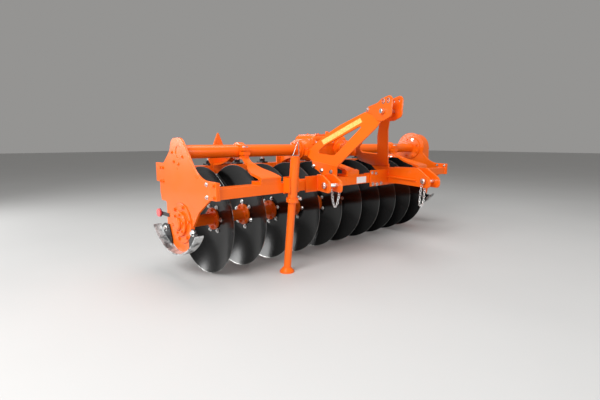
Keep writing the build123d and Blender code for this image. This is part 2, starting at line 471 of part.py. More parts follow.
keep("bearing_housing_right", right_bearing)


def case_slot(x0, x1, r):
    """Long round-ended block round the tube's and the rotor's ends."""
    down = (0, -TUBE_Y / (TUBE_Z - AXIS_Z), -1)
    plane = Plane(origin=(x0, TUBE_Y / 2, (TUBE_Z + AXIS_Z) / 2), x_dir=down, z_dir=(1, 0, 0))
    return extrude(plane * SlotCenterToCenter(TUBE_Z - AXIS_Z, 2 * r), x1 - x0)


CASE_X1 = GANG_W + CASE_T
COVER_X1 = CASE_X1 + CASE_COVER_T
keep("drive_case", case_slot(GANG_W, CASE_X1, CASE_R) - rod_x(GANG_W - 1, GANG_W + 70, 0, AXIS_Z, RUN_R))
cover = case_slot(CASE_X1, COVER_X1, CASE_R - 12)
for y, z in ((TUBE_Y, TUBE_Z), (0, AXIS_Z)):
    cover += rod_x(COVER_X1, COVER_X1 + CASE_BOSS_T, y, z, 52)
keep("drive_case_cover", cover)

# Depth skids: a curved runner with a gusset at each end against the side plate
SKID_Z = AXIS_Z - SKID_DROP + SKID_R
SKID_Y0, SKID_Y1, SKID_TOP = -228.0, 268.0, AXIS_Z - 30
FRONT_GUSSET = [
    (-96, AXIS_Z - 13, 8), (-152, AXIS_Z - 13, 14), (-172, AXIS_Z - 40, 20), (SKID_Y0, AXIS_Z - 44, 0),
    (SKID_Y0, LOBE_LOW, 0), (-84, LOBE_LOW, 0), (-84, AXIS_Z - 80, 0),
]
REAR_GUSSET = [
    (150, AXIS_Z - 28, 0), (206, AXIS_Z - 28, 14), (SKID_Y1, AXIS_Z - 60, 0), (SKID_Y1, LOBE_LOW, 0),
    (118, LOBE_LOW, 0), (118, AXIS_Z - 110, 0),
]


def skid(x0, x1, g0, g1):
    body = ring_x(x0, x1, SKID_Y, SKID_Z, SKID_R, SKID_R - SKID_T)
    body &= block(x0 - 1, x1 + 1, SKID_Y0, SKID_Y1, 0, SKID_TOP)
    gussets = prism_yz(FRONT_GUSSET, g0, g1) + prism_yz(REAR_GUSSET, g0, g1)
    gussets &= rod_x(g0, g1, SKID_Y, SKID_Z, SKID_R - 1)
    gussets -= rod_x(g0, g1, 0, AXIS_Z, BEARING_R + 4)
    return body + (gussets - case_slot(RIGHT_X0, GANG_W + SKID_W, CASE_R + 4))


keep("depth_skid_left", skid(-SKID_W, 0, -GUSSET_T, 0))
keep("depth_skid_right", skid(GANG_W, GANG_W + SKID_W, GANG_W, GANG_W + GUSSET_T))

# Side marker on its bracket
MARKER_Y, MARKER_Z, MARKER_R = 272.0, AXIS_Z + 24, 25.0
keep("marker_bracket", block(-3, 0, LOBE_Y1 - 30, MARKER_Y + 24, MARKER_Z - 11, MARKER_Z + 11)
     + rod_x(-3, 0, MARKER_Y, MARKER_Z, MARKER_R + 1))
keep("side_marker", rod_x(-14, -3, MARKER_Y, MARKER_Z, MARKER_R))

# Discs, spools and shaft
SPHERE = (DISC_R ** 2 + DISC_DEPTH ** 2) / (2 * DISC_DEPTH)


def sag(r):
    """Depth of the concave face behind the rim plane at radius r."""
    return math.sqrt(SPHERE ** 2 - r ** 2) - math.sqrt(SPHERE ** 2 - DISC_R ** 2)


def disc(x_rim):
    """Dished disc: spherical faces, a flat middle and a ground bevel at the rim."""
    land, middle = DISC_R - DISC_BEVEL, (DISC_R + DISC_FLAT_R) / 2
    hub = sag(DISC_FLAT_R)
    face = Wire([
        Line((hub, SHAFT_R), (hub, DISC_FLAT_R)),
        ThreePointArc((hub, DISC_FLAT_R), (sag(middle), middle), (0, DISC_R)),
        Line((0, DISC_R), (1.5, DISC_R)),
        Line((1.5, DISC_R), (sag(land) + DISC_T, land)),
        ThreePointArc((sag(land) + DISC_T, land), (sag(middle) + DISC_T, middle),
                      (hub + DISC_T, DISC_FLAT_R)),
        Line((hub + DISC_T, DISC_FLAT_R), (hub + DISC_T, SHAFT_R)),
        Line((hub + DISC_T, SHAFT_R), (hub, SHAFT_R)),
    ])
    plane = Plane(origin=(x_rim, 0, AXIS_Z), x_dir=(1, 0, 0), z_dir=(0, -1, 0))
    return revolve(plane * make_face(face), Axis((0, 0, AXIS_Z), (1, 0, 0)))


rims = [FIRST_RIM_X + k * DISC_PITCH for k in range(DISC_COUNT)]
keep("discs", *[disc(x) for x in rims])
spools = []
edges = [PLATE_T + 10] + [x + sag(DISC_FLAT_R) for x in rims] + [RIGHT_X0 - 18]
for k in range(DISC_COUNT + 1):
    x0, x1 = edges[k] + (DISC_T if k else 0.0), edges[k + 1]
    body = ring_x(x0, x1, 0, AXIS_Z, SPOOL_R, SHAFT_R)
    last_r = SPOOL_FLANGE_R if k < DISC_COUNT else SPOOL_END_R
    first_r = SPOOL_FLANGE_R if k else SPOOL_END_R
    body += ring_x(x1 - SPOOL_FLANGE_T, x1, 0, AXIS_Z, last_r, SHAFT_R)
    body += ring_x(x0, x0 + SPOOL_FLANGE_T, 0, AXIS_Z, first_r, SHAFT_R)
    spools.append(body)
keep("rotor_spools", *spools)
keep("rotor_shaft", rod_x(-18, GANG_W + 62, 0, AXIS_Z, SHAFT_R))

# Scrapers: a blade in each disc's hollow, its tang clamped under a boss on the rear beam
TANG_Y, TANG_Z = REAR_Y0 + 14, REAR_Z0 + 25
SCRAPER_ANGLE = math.atan2(TANG_Z - AXIS_Z, TANG_Y)
TANG_R, BLADE_GAP, BLADE_T = math.hypot(TANG_Y, TANG_Z - AXIS_Z) + 8, 8.0, 8.0
BLADE = [(TANG_R, -40), (TANG_R, -16), (DISC_R + 1, -12), (DISC_R - 17, -6)]
BLADE += [(r, sag(r) - BLADE_GAP) for r in (DISC_R - 35, DISC_R - 70, DISC_R - 105, DISC_R - 137)]
BLADE += [(DISC_R - 145, sag(DISC_R - 145) - 22), (DISC_R - 109, -4), (DISC_R - 55, -28), (DISC_R - 5, -40)]
TANG_X = -32.0
blades, scraper_clamps = [], []
for x in rims:
    plane = Plane(origin=(x, 0, AXIS_Z), x_dir=(0, math.cos(SCRAPER_ANGLE), math.sin(SCRAPER_ANGLE)),
                  z_dir=(0, math.sin(SCRAPER_ANGLE), -math.cos(SCRAPER_ANGLE)))
    blades.append(extrude(plane * make_face(Polyline(*BLADE, close=True)), BLADE_T))
    clamp = block(x + TANG_X - 26, x + TANG_X + 26, REAR_Y0, REAR_Y1, REAR_Z1, REAR_Z1 + 10)
    clamp += Pos(x + TANG_X, (REAR_Y0 + REAR_Y1) / 2, REAR_Z1 + 20) * Cylinder(19, 22)
    scraper_clamps.append(clamp)
behind = block(-BEYOND, BEYOND, REAR_Y0, REAR_Y1 + 200, REAR_Z0 - 150, REAR_Z1)
for plate in OUT["rear_hangers"]:
    behind += plate
keep("scraper_blades", *[blade - behind for blade in blades])
keep("scraper_clamps", *scraper_clamps)

# Parking stand: a leaning sleeve in a lug on the beam, a leg with a foot, a locking pin
LEAN = math.radians(STAND_LEAN)
STAND_DOWN = Vector(0, math.sin(LEAN), -math.cos(LEAN))
SLEEVE_TOP = Vector(STAND_X, BEAM_Y0 - STAND_AHEAD, BEAM_Z0 + STAND_TOP)
SLEEVE_R = STAND_R + SLEEVE_WALL + CLEARANCE


def rod_stand(s0, s1, r):
    """Rod along the leaning stand, distances measured down from the sleeve's top."""
    middle = SLEEVE_TOP + STAND_DOWN * ((s0 + s1) / 2)
    return Location(Plane(origin=middle, x_dir=(1, 0, 0), z_dir=STAND_DOWN)) * Cylinder(r, s1 - s0)


sleeve = rod_stand(0, SLEEVE_L, SLEEVE_R) + rod_stand(SLEEVE_L - 22, SLEEVE_L, SLEEVE_R + 8)
LUG_HALF, LUG_OUT, LUG_Z0, LUG_Z1 = SLEEVE_R + 2, BEAM_Y0 - 50, BEAM_Z0 + 3, BEAM_Z1 + 30
lug = block(STAND_X - LUG_HALF - 9, STAND_X + LUG_HALF + 9, BEAM_Y0 - 8, BEAM_Y0, BEAM_Z0 - 5, BEAM_Z1 + 34)
for side in (-1, 1):
    cheek = sorted((STAND_X + side * LUG_HALF, STAND_X + side * (LUG_HALF + 9)))
    lug += block(*cheek, LUG_OUT, BEAM_Y0 - 4, LUG_Z0, LUG_Z1)
lug += block(STAND_X - LUG_HALF - 2, STAND_X + LUG_HALF + 2, BEAM_Y0 - 35, BEAM_Y0 - 4,
             BEAM_Z0 + 33, BEAM_Z0 + 63)
pin_at = SLEEVE_TOP + STAND_DOWN * (SLEEVE_L - 12)
pin = Pos(pin_at.X + SLEEVE_R + 14.5, pin_at.Y, pin_at.Z) * Rot(0, 90, 0) * Cylinder(6, 36)
keep("stand_sleeve", sleeve + lug - rod_stand(-1, SLEEVE_L + 1, STAND_R + CLEARANCE) - pin)
keep("stand_pin", pin + Pos(pin_at.X + SLEEVE_R + 34.5, pin_at.Y, pin_at.Z) * Rot(0, 90, 0) * Cylinder(10, 8))
FLOOR_S = SLEEVE_TOP.Z / math.cos(LEAN)
foot_at = SLEEVE_TOP + STAND_DOWN * FLOOR_S
leg = rod_stand(-6, FLOOR_S - 18, STAND_R) - rod_stand(12, FLOOR_S - 40, STAND_R - STAND_WALL)
foot = Pos(foot_at.X, foot_at.Y, 5) * Cylinder(42, 10) + Pos(foot_at.X, foot_at.Y, 20) * Cone(40, 24, 20)
keep("stand_leg", leg + foot)

# Moves the origin and writes the files
os.makedirs("parts", exist_ok=True)
boxes = [solid.bounding_box() for solids in OUT.values() for solid in solids]
middle_x = (min(b.min.X for b in boxes) + max(b.max.X for b in boxes)) / 2
middle_y = (min(b.min.Y for b in boxes) + max(b.max.Y for b in boxes)) / 2
for name, solids in OUT.items():
    moved = [Pos(-middle_x, -middle_y, 0) * s for s in solids]
    shape = moved[0] if len(moved) == 1 else Compound(children=moved)
    export_step(shape, f"parts/{name}.step")
print("moved by", round(-middle_x, 3), round(-middle_y, 3))
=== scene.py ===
"""Powered disc harrow: paint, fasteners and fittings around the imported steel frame.

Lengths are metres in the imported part's own frame: +X along the gang towards the drive case, +Y to the rear,
+Z up. The places that gang() and hitch() take are millimetres.
"""

import logging
import math
from dataclasses import dataclass, field
from enum import Enum
from typing import Iterable, Sequence

import bmesh
import bpy
from bpy.types import GeometryNodeTree, Material, Mesh, Node, NodeSocket, Object
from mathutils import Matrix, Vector


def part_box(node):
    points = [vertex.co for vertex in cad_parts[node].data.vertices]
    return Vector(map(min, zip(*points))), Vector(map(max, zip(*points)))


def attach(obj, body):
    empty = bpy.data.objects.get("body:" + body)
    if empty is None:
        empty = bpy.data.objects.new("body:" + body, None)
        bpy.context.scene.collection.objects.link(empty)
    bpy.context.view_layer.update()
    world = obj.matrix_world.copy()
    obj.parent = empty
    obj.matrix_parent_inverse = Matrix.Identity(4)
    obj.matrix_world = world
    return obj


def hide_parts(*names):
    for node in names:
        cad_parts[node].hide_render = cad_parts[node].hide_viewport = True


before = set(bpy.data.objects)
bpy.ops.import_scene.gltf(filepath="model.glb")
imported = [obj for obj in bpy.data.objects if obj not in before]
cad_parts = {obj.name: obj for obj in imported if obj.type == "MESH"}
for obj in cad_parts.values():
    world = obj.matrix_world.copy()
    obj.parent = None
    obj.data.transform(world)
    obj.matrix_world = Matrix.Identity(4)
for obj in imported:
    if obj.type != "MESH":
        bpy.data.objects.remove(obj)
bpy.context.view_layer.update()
LOG = logging.getLogger("harrow")
Pair = tuple[float, float]
Point = tuple[float, float, float]
AX_X, AX_Y, AX_Z = Vector((1, 0, 0)), Vector((0, 1, 0)), Vector((0, 0, 1))

LEFT_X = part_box("side_plate_left")[0].x
RIGHT_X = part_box("side_plate_right")[1].x
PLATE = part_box("side_plate_left")[1].x - LEFT_X
SHAFT_LOW, SHAFT_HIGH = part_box("rotor_shaft")
AXIS_Y = (SHAFT_LOW.y + SHAFT_HIGH.y) / 2
AXIS_Z = (SHAFT_LOW.z + SHAFT_HIGH.z) / 2
SHAFT_R = (SHAFT_HIGH.z - SHAFT_LOW.z) / 2
RIM = 0.305
TUBE_Y, TUBE_Z = 10.0, 692.0
BEAM_Y, BRACKET_FACE = -350.0, 10.0
SKID_CENTRE, SKID_R = (25.0, 441.0), 0.300
HITCH_X, HITCH_Y, HITCH_COS, HITCH_SIN = 1005.0, -617.0, 0.92388, 0.38268
HITCH_TURN = math.radians(-22.5)
HITCH_U = Vector((math.cos(HITCH_TURN), math.sin(HITCH_TURN), 0.0))
HITCH_A = Vector((math.sin(HITCH_TURN), -math.cos(HITCH_TURN), 0.0))


def gang(x: float, y: float, z: float) -> Vector:
    """Turns millimetres from the left plate's face, the rotor's axis and the ground into the part's frame."""
    return Vector((LEFT_X + x / 1000, AXIS_Y + y / 1000, z / 1000))


def hitch(u: float, a: float, z: float) -> Vector:
    """Turns millimetres across, ahead of and above the skewed hitch into the part's frame."""
    return gang(HITCH_X, HITCH_Y, z) + (HITCH_U * u + HITCH_A * a) / 1000


def ring(centre: Vector, radius: float, count: int, start: float = 0.0) -> list[Vector]:
    """Evenly spaced points of a circle round an axis along X."""
    turns = [start + 2 * math.pi * k / count for k in range(count)]
    return [centre + AX_Z * radius * math.cos(t) - AX_Y * radius * math.sin(t) for t in turns]


def smooth(mesh: Mesh, sharp: float | None = None) -> None:
    """Shades a mesh smooth, and keeps turns above an angle in degrees sharp.

    Args:
        mesh: the mesh to shade.
        sharp: the angle, or None for no sharp edges.
    """
    mesh.polygons.foreach_set("use_smooth", [True] * len(mesh.polygons))
    if sharp is not None:
        mesh.set_sharp_from_angle(angle=math.radians(sharp))


# Finishes


class Slot(Enum):
    """Material slots of the record."""

    ORANGE = "orange_paint"
    BLACK = "black_paint"
    DISC = "disc_steel"
    ZINC = "zinc_steel"
    BARE = "bare_steel"
    LENS = "red_lens"


@dataclass
class Shader:
    """A node material under construction, with short ways to add and link nodes."""

    name: str
    tree: bpy.types.NodeTree = field(init=False)
    material: Material = field(init=False)

    def __post_init__(self) -> None:
        """Starts from one Principled surface."""
        self.material = bpy.data.materials.new(self.name)
        self.material.use_nodes = True
        self.tree = self.material.node_tree

    def give(self, target: NodeSocket, value: object) -> None:
        """Links a socket to an input, or sets the input to a number or a colour.

        Args:
            target: the input.
            value: a socket, a number, a colour or None for nothing.
        """
        if isinstance(value, NodeSocket):
            self.tree.links.new(value, target)
        elif value is not None:
            target.default_value = (*value, 1.0) if isinstance(value, tuple) else value

    def add(self, kind: str, **values: object) -> Node:
        """Adds a node and sets its properties or its inputs.

        Args:
            kind: the node's type name.
            values: property names, or input names with spaces as underscores.

        Returns:
            The new node.
        """
        node = self.tree.nodes.new(kind)
        for key, value in values.items():
            if hasattr(node, key):
                setattr(node, key, value)
            else:
                self.give(node.inputs[key.replace("_", " ")], value)
        return node

    def here(self) -> NodeSocket:
        """Object coordinates, which stay with the piece."""
        return self.add("ShaderNodeTexCoord").outputs["Object"]

    def noise(self, scale: float, detail: float = 3.0, roughness: float = 0.5,
              source: NodeSocket | None = None) -> NodeSocket:
        """A noise pattern's value.

        Args:
            scale: repeats a metre.
            detail: octaves.
            roughness: weight of the fine octaves.
            source: coordinates, or None for the object's own.

        Returns:
            The factor socket.
        """
        return self.add("ShaderNodeTexNoise", Scale=scale, Detail=detail, Roughness=roughness,
                        Vector=source or self.here()).outputs["Fac"]

    def math(self, operation: str, first: object, second: object = None) -> NodeSocket:
        """One arithmetic step on sockets or numbers.

        Args:
            operation: the step's name.
            first: a socket or a number.
            second: a socket, a number, or None where the step takes one.

        Returns:
            The result.
        """
        node = self.add("ShaderNodeMath", operation=operation)
        self.give(node.inputs[0], first)
        self.give(node.inputs[1], second)
        return node.outputs[0]

    def span(self, value: NodeSocket, low: float, high: float, to_low: float = 0.0, to_high: float = 1.0,
             kind: str = "LINEAR") -> NodeSocket:
        """Maps a value from one range to another, clamped."""
        return self.add("ShaderNodeMapRange", interpolation_type=kind, Value=value, From_Min=low,
                        From_Max=high, To_Min=to_low, To_Max=to_high).outputs["Result"]

    def mix(self, factor: NodeSocket, first: object, second: object) -> NodeSocket:
        """Mixes two colours.

        Args:
            factor: share of the second.
            first: a socket or three numbers.
            second: a socket or three numbers.

        Returns:
            The mixed colour.
        """
        node = self.add("ShaderNodeMix", data_type="RGBA", Factor=factor)
        self.give(node.inputs[6], first)
        self.give(node.inputs[7], second)
        return node.outputs[2]

    def bump(self, height: NodeSocket, strength: float, distance: float) -> NodeSocket:
        """Turns a height into a normal."""
        node = self.add("ShaderNodeBump", Strength=strength, Distance=distance, Height=height)
        return node.outputs["Normal"]

    def around(self, y: float, z: float) -> tuple[NodeSocket, NodeSocket, NodeSocket]:
        """Each point's place against an axis along X.

        Args:
            y: where the axis is, to the rear.
            z: where the axis is, upwards.

        Returns:
            How far it is behind the axis, above it and away from it.
        """
        apart = self.add("ShaderNodeSeparateXYZ", Vector=self.here())
        dy = self.math("SUBTRACT", apart.outputs["Y"], y)
        dz = self.math("SUBTRACT", apart.outputs["Z"], z)
        squares = self.math("ADD", self.math("MULTIPLY", dy, dy), self.math("MULTIPLY", dz, dz))
        return dy, dz, self.math("SQRT", squares)

    def wear(self, **inputs: object) -> Material:
        """Gives the surface its inputs and ends the material.

        Args:
            inputs: values or sockets by input name, with spaces as underscores.

        Returns:
            The finished material.
        """
        surface = self.tree.nodes["Principled BSDF"]
        for key, value in inputs.items():
            self.give(surface.inputs[key.replace("_", " ")], value)
        return self.material


@dataclass(frozen=True)
class PaintFinish:
    """Sprayed gloss paint with faint orange peel, uneven gloss and a little dust."""

    name: str
    colour: Point
    deep: Point
    roughness: float = 0.3
    dusting: float = 0.05
    dust: Point = (0.42, 0.30, 0.22)
    coat: float = 0.22
    peel: float = 0.07

    def material(self) -> Material:
        """Builds the node material.

        Returns:
            The finish's material.
        """
        s = Shader(self.name)
        body = s.mix(s.span(s.noise(2.2, 2.0), 0.3, 0.75, kind="SMOOTHSTEP"), self.colour, self.deep)
        settled = s.math("MULTIPLY", s.span(s.noise(95.0, 6.0, 0.7), 0.58, 0.80), self.dusting)
        gloss = s.span(s.noise(9.0), 0.3, 0.75, self.roughness * 0.9, self.roughness * 1.2)
        return s.wear(Base_Color=s.mix(settled, body, self.dust),
                      Roughness=s.math("ADD", gloss, s.math("MULTIPLY", settled, 1.2)),
                      Normal=s.bump(s.noise(260.0, 2.0), self.peel, 0.0006), Coat_Weight=self.coat,
                      Coat_Roughness=0.09, Specular_IOR_Level=0.26)


@dataclass(frozen=True)
class MetalFinish:
    """Plated or machined steel with fine grain."""

    name: str
    colour: Point
    tint: Point
    roughness: float
    grain: float = 420.0

    def material(self) -> Material:
        """Builds the node material.

        Returns:
            The finish's material.
        """
        s = Shader(self.name)
        return s.wear(Base_Color=s.mix(s.span(s.noise(38.0, 4.0), 0.35, 0.7), self.colour, self.tint),
                      Metallic=1.0, Normal=s.bump(s.noise(self.grain, 2.0), 0.12, 0.0004),
                      Roughness=s.span(s.noise(130.0), 0.3, 0.7, self.roughness * 0.8, self.roughness * 1.3))


@dataclass(frozen=True)
class DiscFinish:
    """Gloss black disc, spun in fine rings, with a ground bright edge."""

    name: str
    edge: float = 0.0022
    fade: float = 0.0008
    rings: float = 330.0
    black: Point = (0.0028, 0.0028, 0.0032)
    haze: Point = (0.22, 0.21, 0.20)
    steel: Point = (0.30, 0.30, 0.29)

    def material(self) -> Material:
        """Builds the node material from each point's distance to the rotor's axis.

        Returns:
            The finish's material.
        """
        s = Shader(self.name)
        dy, dz, radius = s.around(AXIS_Y, AXIS_Z)
        lathed = s.add("ShaderNodeCombineXYZ", X=s.math("MULTIPLY", radius, self.rings),
                       Y=s.math("MULTIPLY", dy, 2.5), Z=s.math("MULTIPLY", dz, 2.5))
        spun = s.noise(1.0, source=lathed.outputs[0])
        ragged = s.math("ADD", radius, s.math("MULTIPLY", s.math("SUBTRACT", s.noise(60.0), 0.5), 0.002))
        ground = s.span(ragged, RIM - self.edge, RIM - self.edge + self.fade)
        dark = s.mix(s.span(s.noise(7.0, 5.0), 0.45, 0.78, 0.0, 0.02), self.black, self.haze)
        return s.wear(Base_Color=s.mix(ground, dark, self.steel), Metallic=ground,
                      Roughness=s.span(spun, 0.25, 0.75, 0.15, 0.23), Normal=s.bump(spun, 0.05, 0.0004),
                      Specular_IOR_Level=0.20, Coat_Weight=0.05, Coat_Roughness=0.08)


@dataclass(frozen=True)
class SkidFinish:
    """Black gusset plates, and a black runner painted light grey metal in patches: a painted reflection of
    the sky, not wear.
    """

    name: str
    centre: Vector
    # Past these radii the runner is painted light grey metal, a painted sky reflection on black paint.
    sheen_from: float = SKID_R - 0.013
    sheen_to: float = SKID_R - 0.009
    black: Point = (0.008, 0.008, 0.009)
    worn: Point = (0.60, 0.61, 0.61)

    def material(self) -> Material:
        """Builds the node material from each point's distance to the runner's centre.

        Returns:
            The finish's material.
        """
        s = Shader(self.name)
        # Painted reflection: light grey metal on the runner's band, broken into patches by noise.
        sheen_band = s.span(s.around(self.centre.y, self.centre.z)[2], self.sheen_from, self.sheen_to)
        patches = s.span(s.noise(26.0, 5.0, 0.62), 0.42, 0.66, 1.0, 0.15, "SMOOTHSTEP")
        sheen_mask = s.math("MULTIPLY", sheen_band, patches)
        return s.wear(Base_Color=s.mix(sheen_mask, self.black, self.worn), Metallic=s.math("MULTIPLY", sheen_mask, 0.55),
                      Roughness=s.span(sheen_mask, 0.0, 1.0, 0.24, 0.46),
                      Normal=s.bump(s.noise(320.0), 0.10, 0.0005), Coat_Weight=0.15, Coat_Roughness=0.2)


@dataclass(frozen=True)
class LensFinish:
    """Moulded red reflector with a small prism pattern."""

    name: str
    colour: Point = (0.72, 0.012, 0.03)
    bright: Point = (0.95, 0.10, 0.10)
    prisms: float = 260.0

    def material(self) -> Material:
        """Builds the node material.

        Returns:
            The finish's material.
        """
        s = Shader(self.name)
        cell = s.add("ShaderNodeTexVoronoi", Scale=self.prisms, Vector=s.here()).outputs["Distance"]
        return s.wear(Base_Color=s.mix(s.span(cell, 0.0, 0.8), self.colour, self.bright), Roughness=0.14,
                      Coat_Weight=1.0, Coat_Roughness=0.03, Normal=s.bump(cell, 0.35, 0.001))


@dataclass(frozen=True)
class LabelFinish:
    """Plain printed vinyl with nothing on it, a little faded and dusty."""

    name: str
    colour: Point
    faded: Point

    def material(self) -> Material:
        """Builds the node material.

        Returns:
            The finish's material.
        """
        s = Shader(self.name)
        return s.wear(Base_Color=s.mix(s.span(s.noise(90.0, 5.0), 0.4, 0.7), self.colour, self.faded),
                      Roughness=s.span(s.noise(200.0), 0.3, 0.7, 0.32, 0.5),
                      Normal=s.bump(s.noise(700.0, 2.0), 0.05, 0.0002))


@dataclass
class Palette:
    """Every finish of the machine, built once."""

    slots: dict[Slot, Material] = field(init=False)
    skid: Material = field(init=False)
    white: Material = field(init=False)
    yellow: Material = field(init=False)

    def __post_init__(self) -> None:
        """Builds the materials."""
        finishes = {
            Slot.ORANGE: PaintFinish("orange_gloss", (0.93, 0.148, 0.004), (0.91, 0.132, 0.0035)),
            Slot.BLACK: PaintFinish("black_gloss", (0.008, 0.008, 0.009), (0.014, 0.014, 0.015), 0.22, 0.03),
            Slot.DISC: DiscFinish("disc_black"),
            Slot.ZINC: MetalFinish("zinc_plate", (0.78, 0.78, 0.76), (0.66, 0.66, 0.68), 0.26),
            Slot.BARE: MetalFinish("machined_steel", (0.50, 0.49, 0.47), (0.40, 0.38, 0.36), 0.33),
            Slot.LENS: LensFinish("red_reflector"),
        }
        self.slots = {slot: finish.material() for slot, finish in finishes.items()}
        # The skid's finish paints a sky reflection as light grey metal on its runner.
        self.skid = SkidFinish("skid_worn", gang(0, *SKID_CENTRE)).material()
        self.white = LabelFinish("white_vinyl", (0.86, 0.85, 0.84), (0.76, 0.73, 0.72)).material()
        self.yellow = LabelFinish("yellow_vinyl", (0.74, 0.60, 0.16), (0.84, 0.36, 0.07)).material()


# Mesh making


@dataclass
class Workshop:
    """Makes meshes, gives them their finish and hands them to the frame."""

    palette: Palette
    bevel_turn: float = 32.0
    flat_turn: float = 0.7
    merge: float = 2e-5
    on_axis: float = 1e-7
    label_rise: float = 0.0005
    label_sink: float = 0.0004

    def piece(self, name: str, mesh: Mesh, material: Material | None = None) -> Object:
        """Puts a mesh into the scene as a piece at the origin.

        Args:
            name: the piece's name.
            mesh: its mesh, already in place.
            material: its finish, or None where the mesh has its own.

        Returns:
            The new object.
        """
        if material is not None:
            mesh.materials.clear()
            mesh.materials.append(material)
        obj = bpy.data.objects.new(name, mesh)
        bpy.context.scene.collection.objects.link(obj)
        return obj

    def fit(self, obj: Object, body: str, slot: Slot, *nodes: str) -> Object:
        """Mounts a finished piece.

        Args:
            obj: the piece.
            body: the body it rides on.
            slot: its material slot; not used.
            nodes: the CAD nodes it stands for.

        Returns:
            The same piece.
        """
        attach(obj, body)
        if nodes:
            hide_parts(*nodes)
        LOG.info("%s on %s: %d faces", obj.name, body, len(obj.data.polygons))
        return obj

    def settle(self, obj: Object) -> Object:
        """Applies an object's modifiers to its mesh.

        Args:
            obj: the object.

        Returns:
            The same object, as a plain mesh.
        """
        graph = bpy.context.evaluated_depsgraph_get()
        shape = obj.evaluated_get(graph)
        mesh = bpy.data.meshes.new_from_object(shape, preserve_all_data_layers=True, depsgraph=graph)
        obj.modifiers.clear()
        obj.data = mesh
        return obj

    def dress(self, node: str, body: str, slot: Slot, edge: float, finish: Material | None = None) -> Object:
        """Copies a CAD node with its corners joined, its rounds smooth and its edges broken.

        Args:
            node: the node's name.
            body: the body it rides on.
            slot: its finish.
            edge: width of the broken edge.
            finish: a finish of its own, where the slot's isn't the one.

        Returns:
            The piece that stands for the node.
        """
        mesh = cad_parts[node].data.copy()
        for name in ("custom_normal", "sharp_edge", "sharp_face"):
            if name in mesh.attributes:
                mesh.attributes.remove(mesh.attributes[name])
        work = bmesh.new()
        work.from_mesh(mesh)
        bmesh.ops.remove_doubles(work, verts=work.verts, dist=self.merge)
        limit = math.radians(self.flat_turn)
        bmesh.ops.dissolve_limit(work, angle_limit=limit, verts=work.verts, edges=work.edges)
        work.to_mesh(mesh)
        work.free()
        smooth(mesh, self.bevel_turn)
        obj = self.piece(f"{node}_skin", mesh, finish or self.palette.slots[slot])
        if edge:
            bevel = obj.modifiers.new("edge", "BEVEL")
            bevel.width, bevel.segments, bevel.limit_method = edge, 2, "ANGLE"
            bevel.angle_limit, bevel.harden_normals = math.radians(self.bevel_turn), True
            self.settle(obj)
        return self.fit(obj, body, slot, node)

    def lathe(self, name: str, profile: Sequence[Pair], origin: Vector, axis: Vector, segments: int,
              slot: Slot, sharp: float = 30.0) -> Object:
        """Turns a profile round an axis.

        Args:
            name: the piece's name.
            profile: (along, radius) pairs in metres; a closed loop unless both ends are on the axis.
            origin: where along is zero.
            axis: the axis's direction.
            segments: steps round the axis.
            slot: the finish.
            sharp: turns above this many degrees stay sharp.

        Returns:
            The new object.
        """
        axis = axis.normalized()
        side = axis.orthogonal().normalized()
        up = axis.cross(side)
        turns = [2 * math.pi * k / segments for k in range(segments)]
        work = bmesh.new()
        rings = []
        for along, radius in profile:
            base = origin + axis * along
            if radius < self.on_axis:
                rings.append([work.verts.new(base)] * segments)
            else:
                rings.append([work.verts.new(base + side * radius * math.cos(t) + up * radius * math.sin(t))
                              for t in turns])
        closed = max(profile[0][1], profile[-1][1]) > self.on_axis
        for k in range(len(rings) if closed else len(rings) - 1):
            first, second = rings[k], rings[(k + 1) % len(rings)]
            for j in range(segments):
                follows = (j + 1) % segments
                unique = list(dict.fromkeys((first[j], first[follows], second[follows], second[j])))
                if len(unique) > 2:
                    work.faces.new(unique)
        return self.finish(name, work, self.palette.slots[slot], sharp)

    def finish(self, name: str, work: bmesh.types.BMesh, material: Material, sharp: float = 30.0) -> Object:
        """Turns a bmesh into a shaded piece whose faces point outwards, and frees it.

        Args:
            name: the piece's name.
            work: the bmesh.
            material: the finish.
            sharp: turns above this many degrees stay sharp.

        Returns:
            The new piece.
        """
        bmesh.ops.recalc_face_normals(work, faces=work.faces)
        mesh = bpy.data.meshes.new(name)
        work.to_mesh(mesh)
        work.free()
        smooth(mesh, sharp)
        return self.piece(name, mesh, material)

    def wire(self, name: str, points: Sequence[Vector], radius: float, slot: Slot, steps: int) -> Object:
        """Bends a round wire into a ring along points.

        Args:
            name: the piece's name.
            points: the wire's line.
            radius: the wire's radius.
            slot: the finish.
            steps: steps between two points.

        Returns:
            The wire as a mesh piece.
        """
        curve = bpy.data.curves.new(name, "CURVE")
        curve.dimensions, curve.resolution_u = "3D", steps
        line = curve.splines.new("NURBS")
        line.points.add(len(points) - 1)
        for target, point in zip(line.points, points):
            target.co = (*point, 1.0)
        line.order_u = 3
        line.use_cyclic_u = True
        curve.bevel_depth, curve.bevel_resolution = radius, 3
        carrier = bpy.data.objects.new(name, curve)
        bpy.context.scene.collection.objects.link(carrier)
        graph = bpy.context.evaluated_depsgraph_get()
        mesh = bpy.data.meshes.new_from_object(carrier.evaluated_get(graph), depsgraph=graph)
        bpy.data.objects.remove(carrier)
        smooth(mesh)
        mesh.name = name
        return self.piece(name, mesh, self.palette.slots[slot])

    def label(self, name: str, corners: Sequence[Vector], normal: Vector, material: Material) -> Object:
        """Thin blank label on a flat face.

        Args:
            name: the piece's name.
            corners: its corners on the face, in order.
            normal: the way the face looks.
            material: the finish.

        Returns:
            The mounted label.
        """
        work = bmesh.new()
        front = [work.verts.new(p + normal * self.label_rise) for p in corners]
        back = [work.verts.new(p - normal * self.label_sink) for p in corners]
        work.faces.new(front)
        work.faces.new(back[::-1])
        for k in range(len(corners)):
            follows = (k + 1) % len(corners)
            work.faces.new((front[k], back[k], back[follows], front[follows]))
        return self.fit(self.finish(name, work, material), "frame", Slot.ORANGE)

